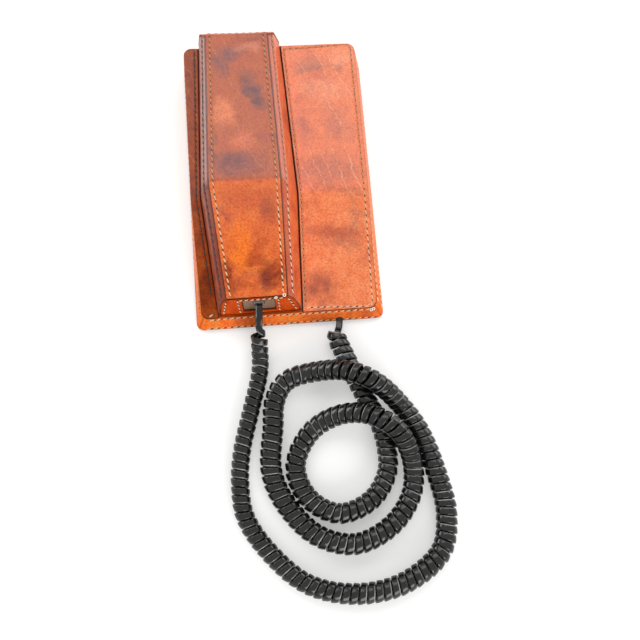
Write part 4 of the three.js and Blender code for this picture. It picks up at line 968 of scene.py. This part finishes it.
# %% Leather over the trough's sill
SILL_PROFILE = np.array([(-92.2, 8.62), (-93.0, 8.74), (-93.8, 8.98), (-94.75, 9.3),
                         (-94.6, 8.4), (-93.8, 7.75), (-93.0, 8.36), (-92.2, 8.42)])
SILL_RINGS, SILL_Y, SILL_FIT = 40, -93.0, 0.3
sill_x = np.linspace(trough_left(SILL_Y) + SILL_FIT, trough_right(SILL_Y) - SILL_FIT, SILL_RINGS)
sill_points = np.column_stack([np.repeat(sill_x, len(SILL_PROFILE)),
                               np.tile(SILL_PROFILE, (SILL_RINGS, 1))])
no_edge = np.full(len(sill_points), 5.0)
sill_strip = make_piece("leather_sill", sill_points, tube_faces(SILL_RINGS, len(SILL_PROFILE)),
                        sill_hide, "base", {"edge_mm": no_edge, "ink_mm": no_edge})
print("sill strip", len(sill_strip.data.polygons), "faces")

# %% [markdown]
# ## Leather on the handset
# The top sheet lies on the handset's back and is inked along both long edges. Each side sheet
# starts beside it, turns over the chamfer, then down the wall. The end sheet leans with the end
# face and has a window for the cord plate. A fold in a sheet's outline is a quadratic curve
# that leaves one straight run and meets the next.

# %% Top of the handset
TOP_ROW = 3.0
BACK_WIDTH = 43.0
back_y = rim_spaced(BACK_REAR - 0.2 - BACK_FRONT - SEAM) + BACK_FRONT + SEAM
back = hide_sheet(
    "leather_handset_top", "handset_top_leather",
    between(back_left(back_y), back_right(back_y), BACK_WIDTH, back_y, back_height(back_y)),
    UP, back_hide, "handset", inked=("u0", "u1"), rows=[("u0", TOP_ROW), ("u1", TOP_ROW)])

# %% [markdown]
# The sides are the widest leathers of the handset, up to 53 mm: folded over the chamfer and
# again at the waist, where the wall starts to go straight down into the trough. Bending a flat
# sheet with a modifier would stretch it, so its sections are drawn where they end up.

# %% A line with folds
CHAMFER_FOLD, WAIST_FOLD = 1.2, 1.6


def through_folds(corners, trims, straight_steps):
    """A line of runs joined by quadratic folds. corners: list of (m, 3) arrays, one per corner,
    so that all m sections are made together. At a fold: (1-t)^2 a + 2t(1-t) corner + t^2 b."""
    rows = []
    start = corners[0]
    for k in range(1, len(corners)):
        last = k == len(corners) - 1
        way = unit(corners[k] - corners[k - 1])
        stop = corners[k] if last else corners[k] - way * trims[k - 1]
        rows += [start + (stop - start) * s for s in straight_steps[k - 1]]
        if not last:
            leave = corners[k] + unit(corners[k + 1] - corners[k]) * trims[k - 1]
            rows += [(1 - t) ** 2 * stop + 2 * t * (1 - t) * corners[k] + t * t * leave
                     for t in (0.2, 0.4, 0.6, 0.8)]
            start = leave
    return np.stack(rows)


# %% [markdown]
# Both ends of the handset lean, so a section's first and last point move with its height. Four
# lines are drawn along the handset, and the sections run down from one to the next.

# %% Sides of the handset
CHAMFER_OUT, CHAMFER_DOWN = 4.35, 3.5
SIDE_FIT = 0.6
END_HEIGHT, END_SET_BACK, END_FOOT_Z = 18.24, 5.5, 8.76
END_LEAN = END_SET_BACK / END_HEIGHT
REAR_Y, REAR_EDGE_Z = 99.6, 40.0
REAR_CHAMFER = 3.6 / 3.5
WAIST_RISE = 4.3
SIDE_LENGTH = 186.0
ROUGH_START, ROUGH_LENGTH, GOES = -90, 189, 4
WORN_MM = 6.0


def handset_side(sign, top_x, wall_x):
    """Sections of one side at each Y: from the back's edge over the chamfer and down the wall."""
    share = rim_spaced(SIDE_LENGTH, 3.0) / SIDE_LENGTH

    def corner(x_of, z_of):
        """Both ends lean, so where a line starts and stops depends on its height there: found
        from a rough y by going round a few times from y to z and back."""
        y = ROUGH_START + ROUGH_LENGTH * share
        for _ in range(GOES):
            z = z_of(y)
            front = BACK_FRONT - END_LEAN * (BACK_FRONT_Z - z) + 0.2
            over = np.maximum(z - REAR_EDGE_Z, 0)
            y = front + (REAR_Y - over * REAR_CHAMFER - HIDE - SEAM - front) * share
        return np.column_stack([x_of(y), y, z_of(y)])

    def chamfer(run):
        """The line at a share of the way from the back's edge down over the chamfer."""
        return corner(lambda y: top_x(y) + sign * CHAMFER_OUT * run,
                      lambda y: back_height(y) - CHAMFER_DOWN * run)

    def wall(z_of):
        return corner(lambda y: wall_x(y) - sign * SIDE_FIT, z_of)

    corners = [chamfer(SEAM / math.hypot(CHAMFER_OUT, CHAMFER_DOWN)), chamfer(1.0),
               wall(lambda y: np.maximum(deck_height(y), inner_face(y) + WAIST_RISE)),
               wall(lambda y: inner_face(y) + 0.4)]
    near = [0, 0.012, 0.05, 0.12, 0.25]
    return through_folds(corners, [CHAMFER_FOLD, WAIST_FOLD], [
        near + [0.4, 0.55, 0.7, 0.85, 1], [0, 0.15, 0.3, 0.5, 0.7, 0.85, 1],
        [0, 0.25, 0.5, 0.75] + [1 - n for n in reversed(near)]])


SIDE_ROW = {"right": 4.1, "left": 3.6}
handset_sides = {}
for place, sign, hide, top_x, wall_x in (("right", 1, side_hide, back_right, trough_right),
                                         ("left", -1, left_hide_painted_shade, back_left, trough_left)):
    handset_sides[place] = hide_sheet(
        f"leather_handset_{place}", f"handset_{place}_leather", handset_side(sign, top_x, wall_x),
        (sign, 0, 0.3), hide, "handset", rows=[("u0", SIDE_ROW[place])], worn=WORN_MM)

# %% [markdown]
# The handset's end is where the cord goes in, through a painted plate that the leather leaves
# free. A cutter could make the window, but it leaves long thin faces. Here the grid has its lines
# close together round the window, and its cells are left out; the distance to the hole rounds
# its rim as the sheet's own.

# %% Front end of the handset
PLATE_X, PLATE_HALF = -20.36, 10.8
PLATE_LOW, PLATE_HIGH = -6.8, 5.2
WINDOW_FIT = 0.3
SIDE_WALL = 1.5
END_ROW = 2.6
WING_WIDTH = 16.0
# X of the end's two edges at the waist, at the chamfer's foot and at the back
END_RIGHT_X, END_LEFT_X = [7.8, 4.15, -0.2], [-48.4, -45.35, -41.0]
end_length = math.hypot(END_HEIGHT, END_SET_BACK)
window_low, window_high = PLATE_LOW - WINDOW_FIT, PLATE_HIGH + WINDOW_FIT
window_left, window_right = PLATE_X - PLATE_HALF - WINDOW_FIT, PLATE_X + PLATE_HALF + WINDOW_FIT


def on_end_face(x, v):
    """Point of the leaning end face: v runs up the face in mm from the middle of its height."""
    s = v / end_length + 0.5
    return np.stack([x, BACK_FRONT - END_SET_BACK * (1 - s), END_FOOT_Z + END_HEIGHT * s], axis=-1)


end_v = np.unique(np.concatenate([
    np.array([0, 0.06, 0.22, 0.5, 0.9, 1.6]) - end_length / 2 + 0.35,
    window_low - np.array([0.3, 0.7]), np.linspace(window_low, window_high, 9),
    window_high + np.array([0.25, 0.6]),
    end_length / 2 - HIDE - 0.1 - np.array([1.9, 1.4, 0.9, 0.5, 0.22, 0.06, 0])]))
end_z = END_FOOT_Z + END_HEIGHT * (end_v / end_length + 0.5)
edge_z = [float(inner_face(-92.0) + WAIST_RISE), 23.5, BACK_FRONT_Z]
end_right = np.interp(end_z, edge_z, END_RIGHT_X) - SIDE_WALL
end_left = np.interp(end_z, edge_z, END_LEFT_X) + SIDE_WALL
wing = (rim_spaced(WING_WIDTH, 2.0) / WING_WIDTH)[:, None]
end_x = np.vstack([
    end_left + (window_left - end_left) * wing,
    np.linspace(window_left, window_right, 13)[1:-1, None] * np.ones_like(end_v),
    window_right + (end_right - window_right) * wing])
end_vs = np.broadcast_to(end_v, end_x.shape)
from_hole = np.hypot(np.maximum(np.maximum(window_left - end_x, end_x - window_right), 0),
                     np.maximum(np.maximum(window_low - end_vs, end_vs - window_high), 0))
cell_x, cell_v = ((grid[:-1, :-1] + grid[1:, 1:]) / 2 for grid in (end_x, end_vs))
solid_cell = ~((cell_x > window_left) & (cell_x < window_right)
               & (cell_v > window_low) & (cell_v < window_high))
hide_sheet("leather_handset_end", "handset_end_leather", on_end_face(end_x, end_vs), (0, -1, 0.3),
           end_hide, "handset", rows=[("u0", END_ROW), ("u1", END_ROW)], keep=solid_cell,
           window=from_hole)

# %% [markdown]
# The rear end stands upright below the cut-off upper edge. It is a profile of two runs and one
# fold, carried from the left side to the right, and its width follows the outline of the end.

# %% Rear end of the handset
REAR_ROW = 3.6
REAR_WIDTH = 52.0
REAR_OUTLINE_Z = [30, REAR_EDGE_Z, 43.5]
rear_y, rear_z = through_folds(
    [np.array([[96.3, 43.2]]), np.array([[REAR_Y, REAR_EDGE_Z]]), np.array([[REAR_Y, 16.6]])],
    [CHAMFER_FOLD],
    [[0, 0.02, 0.08, 0.2, 0.4, 0.7, 1], [0, 0.2, 0.4, 0.6, 0.8, 0.92, 0.97, 0.99, 1]])[:, 0].T
rear_sheet = hide_sheet(
    "leather_handset_rear", "handset_rear_leather",
    between(np.interp(rear_z, REAR_OUTLINE_Z, [-49.4, -47.05, -42.7]),
            np.interp(rear_z, REAR_OUTLINE_Z, [6.9, 3.95, -0.4]), REAR_WIDTH, rear_y, rear_z),
    (0, 1, 0.3), side_hide, "handset", rows=[("v0", REAR_ROW)])

# %% [markdown]
# ## Saddle stitching
# The seams are sewn with two needles through holes pricked with an awl every 4.4 mm, so each
# stitch is a short tight bar of thread that dives into the leather at both ends, with a dark
# prick between it and the next, a painted shadow of the hole. Each row is a line on a sheet;
# its stitches are all copies of one small bar, turned along the line and onto the leather, in a
# single mesh. A stitch painted on with a texture would stay flat, and these catch the light.
# Towards the rear the thread is darker, and the painted shadow in the holes is brown there
# instead of near black.

# %% Thread and awl holes
STITCH_PITCH = 4.4
STITCH_LENGTH = 3.4
STITCH_SLANT = math.radians(16)
PRICK_LENGTH = 1.8
PRICK_RADIUS = 0.48
PRICK_TURN = math.radians(16)
THREAD_RADIUS = 0.46
THREAD_SIDES = 6
THREAD_FLAT, PRICK_FLAT = 0.8, 0.22
REAR_TONE_EDGES = (-40 * MM, 0.0)
# A bar's stations along it in shares of its length, the radius at each and the lift in mm
BAR = (np.array([-1, -0.8, -0.38, 0.38, 0.8, 1]) / 2, np.array([0.3, 0.85, 1, 1, 0.85, 0.3]),
       np.array([-0.42, -0.05, 0.16, 0.16, -0.05, -0.42]))
PRICK = np.array([-1, -0.6, 0.6, 1]) / 2, np.array([0.3, 1, 1, 0.3]), np.zeros(4)

linen = grained("waxed_linen_thread", "#D0AA7C", "#F8E0B8", 0.7, 0.6)
# Brown thread, for the row beside the trough and the left and rear bands.
brown_linen = grained("waxed_linen_thread_brown", "#8F6F52", "#C2A27C", 0.7, 0.6)
# Near black thread, for the rows on the left.
dark_linen = grained("waxed_linen_thread_dark", "#1C1411", "#3A2A22", 0.7, 0.55)
bleached_linen = grained("waxed_linen_thread_new", "#F4EDDD", "#FFFBF0", 0.7, 0.5)
awl_hole = grained("pricked_hole_shadow", "#170F0C", "#2A1A14", 0.7, 0.8)
# Towards the rear the thread is darker and the painted hole shadow turns brown.
for material, kind, rear_tone in ((linen, "MULTIPLY", "#D4B8A4"), (awl_hole, "MIX", "#643A2C")):
    along_y = add_node(material, "SeparateXYZ", (
        add_node(material, "TexCoord", result="Object"),), "Y")
    coat(material, along_y, REAR_TONE_EDGES, rear_tone, kind)


# %% [markdown]
# There are hundreds of stitches, so a stitch has only a few dozen faces, and all the copies of a
# row are worked out as one array. An Array modifier on a curve would turn them along the row,
# but not onto a bent piece of leather.

# %% Bars of thread along a row


def bars(rows, shape, length, radius, offset, slant, flatten, pitch):
    """Copies of one bar along lines. A copy's point = place + length * station * along
    + radius * (cos * side + sin * normal) + lift * normal; along is turned by the slant."""
    stations, radii, lifts = shape
    a = np.arange(THREAD_SIDES) * 2 * np.pi / THREAD_SIDES
    all_points, all_faces, count = [], [], 0
    for line, normal in rows:
        run = summed(step_lengths(line))
        total = max(1, int(run[-1] // pitch))
        at = (np.arange(total) + 0.5 + offset) * run[-1] / total
        at = at[at <= run[-1] + 1e-6]
        p, n = read_at(at, run, line), unit(read_at(at, run, normal))
        t = unit(read_at(at + 0.5, run, line) - read_at(at - 0.5, run, line))
        t = math.cos(slant) * t + math.sin(slant) * unit(np.cross(n, t))
        ring = (np.cos(a)[:, None, None] * np.cross(n, t)
                + np.sin(a)[:, None, None] * n * flatten)
        body = p[None] + length * stations[:, None, None] * t + lifts[:, None, None] * n
        points = body[:, None] + radius * radii[:, None, None, None] * ring[None]
        points = points.transpose(2, 0, 1, 3).reshape(len(at), -1, 3)
        shift = count + np.arange(len(at)) * points.shape[1]
        for face in tube_faces(len(stations), THREAD_SIDES):
            all_faces.append((shift[:, None, None] + face[None]).reshape(-1, face.shape[1]))
        all_points.append(points.reshape(-1, 3))
        count += points.shape[1] * len(at)
    return np.concatenate(all_points), all_faces


def sew(name, rows, thread, body, slant=STITCH_SLANT, length=STITCH_LENGTH, pitch=STITCH_PITCH):
    """Thread bars along rows, and the pricked holes between them as a second piece."""
    stitches = make_piece(f"stitches_{name}", *bars(
        rows, BAR, length, THREAD_RADIUS, 0.0, slant, THREAD_FLAT, pitch), thread, body)
    holes = make_piece(f"pricks_{name}", *bars(
        rows, PRICK, PRICK_LENGTH, PRICK_RADIUS, 0.5, slant + math.copysign(PRICK_TURN, slant),
        PRICK_FLAT, pitch), awl_hole, body)
    print("stitches", name, len(stitches.data.polygons), len(holes.data.polygons))


def band_lines(*places):
    """Both rows of each band, from 4 mm past one end to 4 mm short of the other."""
    return [sewn_row(band[place], edge, inset, 4.0, 4.0) for place in places
            for edge, inset in zip(("v0", "v1"), BAND_ROWS[place])]


# %% [markdown]
# ## The seams of the base
# The deck is sewn down along its outer edge and both ends, and beside the trough, where the
# stitches lean the other way and are longer. Each band has a row at its foot and one at its
# head. Left of the trough the thread is near black, so that it hardly shows.

# %% Sew the base
sew("deck", [sewn_row(deck, "u1", ROW_INSET), sewn_row(deck, "v0", ROW_INSET, 2.0),
             sewn_row(deck, "v1", ROW_INSET, 2.0)], linen, "base")
sew("deck_recess", [sewn_row(deck, "u0", RECESS_ROW)], brown_linen, "base",
    slant=math.radians(-24), length=4.2)
sew("left_strip", [sewn_row(strip, "u1", STRIP_ROW, 14.0, 2.0)], dark_linen, "base")
sew("left_strip_front", [sewn_row(strip, "v0", ROW_INSET, 2.0, 2.0)], linen, "base")
sew("bands", band_lines("right", "front"), linen, "base")
sew("bands_dull", band_lines("left", "rear"), brown_linen, "base")

# %% [markdown]
# ## The seams of the handset
# A row runs along each side of both long edges of the back, and one across the rear end. On
# the front end the rows are short and straight: round three sides of the plate, and one beside
# each outer edge.

# %% Sew the handset
PLATE_FRAME = 13.4
for title, sheet, edge, inset, margin, thread in (
        ("top_left", back, "u0", TOP_ROW, 1.0, linen),
        ("top_right", back, "u1", TOP_ROW, 1.0, linen),
        ("right", handset_sides["right"], "u0", SIDE_ROW["right"], 1.5, linen),
        ("left", handset_sides["left"], "u0", SIDE_ROW["left"], 1.5, dark_linen)):
    sew(f"handset_{title}", [sewn_row(sheet, edge, inset, margin, margin)], thread, "handset")


def end_line(x0, v0, x1, v1):
    """A straight row on the end face from one place to another, with the face's normal."""
    s = np.linspace(0, 1, 20)
    line = on_end_face(x0 + (x1 - x0) * s, v0 + (v1 - v0) * s)
    return line, np.broadcast_to(unit(np.array([0, -END_HEIGHT, END_SET_BACK])), line.shape)


sew("handset_end", [
    end_line(PLATE_X - PLATE_FRAME, -8.4, PLATE_X - PLATE_FRAME, 7.2),
    end_line(PLATE_X - PLATE_FRAME, 7.0, -3.0, 7.2),
    end_line(PLATE_X + PLATE_FRAME, -8.4, PLATE_X + PLATE_FRAME, 6.4),
    end_line(-45.2, -8.0, -41.5, 6.0), end_line(4.8, -8.0, -0.5, 6.6)], linen, "handset",
    pitch=3.6, length=2.6)
sew("handset_rear", [sewn_row(rear_sheet, "v0", REAR_ROW, 3.0, 3.0)], linen, "handset")

# %% [markdown]
# Where two rows meet, the thread is knotted and cut, and the fresh end stays white. A knot is
# only 2 mm wide, so a small ring of thread that leans on the edge is enough to read as one.

# %% Knots where two rows end
KNOTS = {"handset": [((-2.6, -86.9, 27.0), (0, -0.5, 1)), ((-8.2, -87.7, 26.0), (0, -1, 0.3))],
         "base": [((57.6, -95.4, 8.7), (0, -0.7, 0.7)), ((56.0, -95.9, 8.1), (0, -0.7, 0.7))]}
KNOT_RADIUS, KNOT_THREAD, KNOT_STEPS, KNOT_LIFT = 0.85, 0.36, 14, 0.3
turned = (np.arange(KNOT_STEPS) * 2 * np.pi / KNOT_STEPS)[:, None]
ring = (np.arange(THREAD_SIDES) * 2 * np.pi / THREAD_SIDES)[None, :, None]
i, k = np.meshgrid(np.arange(KNOT_STEPS), np.arange(THREAD_SIDES), indexing="ij")
i2, k2 = (i + 1) % KNOT_STEPS, (k + 1) % THREAD_SIDES
loop_faces = np.stack([i * THREAD_SIDES + k, i2 * THREAD_SIDES + k, i2 * THREAD_SIDES + k2,
                       i * THREAD_SIDES + k2], axis=2).reshape(-1, 4)


def knot(place, normal):
    """A loop of thread: a ring of radius R round a normal n, with a round section."""
    n = unit(np.array(normal, float))
    s = unit(np.cross(n, [1.0, 0.2, 0]))
    out = np.cos(turned) * s + np.sin(turned) * np.cross(n, s)
    loop = (KNOT_RADIUS + KNOT_THREAD * np.cos(ring)) * out[:, None]
    return (np.array(place) + KNOT_LIFT * n + loop
            + KNOT_THREAD * np.sin(ring) * n).reshape(-1, 3)


for body, knots in KNOTS.items():
    loops = [knot(*where_and_way) for where_and_way in knots]
    make_piece(f"thread_knots_{body}", np.concatenate(loops),
               [loop_faces + number * len(loops[0]) for number in range(len(loops))],
               bleached_linen, body)
    print("knots", body, len(loops))

# %% [markdown]
# ## Finishes of the hard parts
# The parts made in the model keep their shape and get a finish for what they are: moulded
# thermoplastic, clear polycarbonate, turned steel, spun brass, copper wire, a phenolic board.
# Their meshes stay as they were packed, so nothing can be stored on the points: the finishes
# read only the object's coordinates. Metals take no second roughness from their grain, only two
# tones and a fine bump, as brushing or turning leaves them.

# %% Plastics, rubber and metals
METAL = {"detail": 5.0, "low_until": 0.3, "uneven": (0.0, 0.0), "depth_mm": 0.3, "metallic": 1.0}
NODE_FINISH = {
    grained("moulded_dark_abs", "#2C1D17", "#3A271F", 1.4, 0.48, 0.12):
        ["base_shell", "handset_shell", "inner_cover", "hook_switch", "base_cord_jack",
         "line_jack", "handset_jack"],
    grained("moulded_ivory_abs", "#D2C5A8", "#DDD2B8", 3.0, 0.36):
        ["number_ring", "dial_cap", "recall_button", "hook_plunger", "capacitor"],
    grained("moulded_black_rubber", "#171716", "#242423", 0.9, 0.75, 0.2):
        ["foot_front_right", "foot_front_left", "foot_rear_right", "foot_rear_left"],
    grained("phenolic_board", "#5A4521", "#6E5730", 1.2, 0.6, 0.1): ["network_board"],
    grained("capsule_black_phenolic", "#222120", "#302E2C", 1.2, 0.5, 0.08):
        ["receiver_capsule", "transmitter_capsule", "transformer"],
    grained("plate_brown_grey_enamel", "#7A5E4A", "#98785F", 1.6, 0.38, 0.12): ["cord_plate"],
    grained("clear_polycarbonate", "#DDE3DF", "#E9EEEA", 4.0, 0.12, 0.02,
            transmission_weight=0.75, ior=1.58):
        ["finger_wheel", "handset_cord_plug", "base_cord_plug"],
    grained("turned_steel", "#8C9194", "#B9BEC1", 0.8, 0.34, 0.04, **METAL):
        ["finger_stop", "dial_spindle", "clapper", "cover_screw_front", "cover_screw_rear",
         "gong_screw_front", "gong_screw_rear", "plate_screw_front_right",
         "plate_screw_front_left", "plate_screw_rear_right", "plate_screw_rear_left"],
    grained("zinc_plated_steel", "#85887F", "#A9ABA6", 1.6, 0.42, 0.04, **METAL):
        ["base_plate", "ringer_frame"],
    grained("spun_brass", "#A5803F", "#CDA55A", 1.2, 0.3, 0.04, **METAL):
        ["gong_front", "gong_rear", "dial_movement"],
    grained("enamelled_copper_wire", "#7E3F1F", "#B5642F", 0.5, 0.38, 0.2, **METAL):
        ["ringer_coil"]}

# %% [markdown]
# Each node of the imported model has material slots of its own; the finish is put into them, and
# a node left without a finish would be printed below.

# %% Put the finishes on the nodes
finished = set()
for finish, names in NODE_FINISH.items():
    for node_name in names:
        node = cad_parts[node_name]
        for material_slot in node.material_slots:
            material_slot.material = finish
        if not node.material_slots:
            node.data.materials.append(finish)
        finished.add(node_name)
hidden = {name for name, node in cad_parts.items() if node.hide_render}
print("nodes without a finish", sorted(set(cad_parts) - finished - hidden))

# %% [markdown]
# ## Table
# The telephone stands on a plain white table. The table keeps the soft shadow, but what the
# camera sees of it is lifted to white with the Light Path node.
# A lamp strong enough to bleach it would bleach the leather as well. Far from the telephone,
# where the lamps fade, the table is lifted more.

# %% Table and background
TABLE_HALF = 4000
TABLE_LIFT, FAR_LIFT = 0.36, 0.75
LIFT_FROM, LIFT_TO = 0.4, 2.5


def seen_rays(owner):
    """1 for a ray that the eye follows: straight, off a gloss or through a clear part; else 0."""
    rays = add_node(owner, "LightPath").node.outputs
    shiny = add_node(owner, "Math", (rays["Is Glossy Ray"], rays["Is Transmission Ray"]),
                     operation="ADD", use_clamp=True)
    return add_node(owner, "Math", (rays["Is Camera Ray"], shiny), operation="ADD", use_clamp=True)


white = new_material("white_table", base_color="#E6E6E4", roughness=0.9)
from_middle = add_node(white, "VectorMath", (add_node(white, "TexCoord", result="Object"),),
                       "Value", operation="LENGTH")
lift = add_node(white, "MapRange", (from_middle, LIFT_FROM, LIFT_TO, TABLE_LIFT, FAR_LIFT))
glow = add_node(white, "Math", (seen_rays(white), lift), operation="MULTIPLY")
both = add_node(white, "AddShader", (white.node_tree.nodes["Principled BSDF"].outputs["BSDF"],
                                     add_node(white, "Emission", {"Strength": glow})))
white.node_tree.links.new(both, white.node_tree.nodes["Material Output"].inputs["Surface"])
table = make_piece("table", [(-TABLE_HALF, -TABLE_HALF, 0), (TABLE_HALF, -TABLE_HALF, 0),
                             (TABLE_HALF, TABLE_HALF, 0), (-TABLE_HALF, TABLE_HALF, 0)],
                   [np.array([[0, 1, 2, 3]])], white, None, smooth=False)
print("table", 2 * TABLE_HALF * MM, "m wide")

# %% [markdown]
# ## Light
# A wide soft light stands behind and above, where the level panels of the base and the handset
# reflect it: that is the milky gloss over their rear halves. The panels that tilt to the front
# reflect the dim room instead and keep their full colour, lit by a window in front and by two
# pale walls at the rear corners. The room itself is dim, but white to the eye, as the table is.
# Four lamps could be one picture of a sky, but each of them can be moved until one panel has
# the tone that it has in the photograph.

# %% Lamps and room
ROOM_LIGHT = 0.46
LAMP_AIM = Vector((0, -40, 10))


def soft_light(name, place, width, height, radiance):
    """A rectangle lamp of even radiance L: its power is pi * area * L. It faces its aim."""
    data = bpy.data.lights.new(name, "AREA")
    data.shape = "RECTANGLE"
    data.size, data.size_y = width * MM, height * MM
    data.energy = math.pi * data.size * data.size_y * radiance
    lamp = bpy.data.objects.new(name, data)
    facing = (LAMP_AIM - Vector(place)).to_track_quat("-Z", "Y").to_matrix().to_4x4()
    lamp.matrix_world = Matrix.Translation(Vector(place) * MM) @ facing
    bpy.context.scene.collection.objects.link(lamp)


soft_light("window_behind", (0, 1250, 1750), 1900, 1100, 2.5)
soft_light("window_front", (660, -1870, 930), 1600, 1000, 5.6)
soft_light("wall_right_rear", (1620, 1060, 450), 1200, 900, 3.2)
soft_light("wall_left_rear", (-1640, 1060, 400), 1200, 900, 5.0)
room = bpy.data.worlds.new("room")
room.use_nodes = True
bpy.context.scene.world = room
background = room.node_tree.nodes["Background"].inputs
background["Color"].default_value = (1.0, 1.0, 1.0, 1.0)
brightness = add_node(room, "MapRange", {
    "Value": seen_rays(room), "To Min": ROOM_LIGHT, "To Max": 1.0})
room.node_tree.links.new(brightness, background["Strength"])
bpy.context.scene.view_settings.view_transform = "Standard"
print("lamps", len(bpy.data.lights))
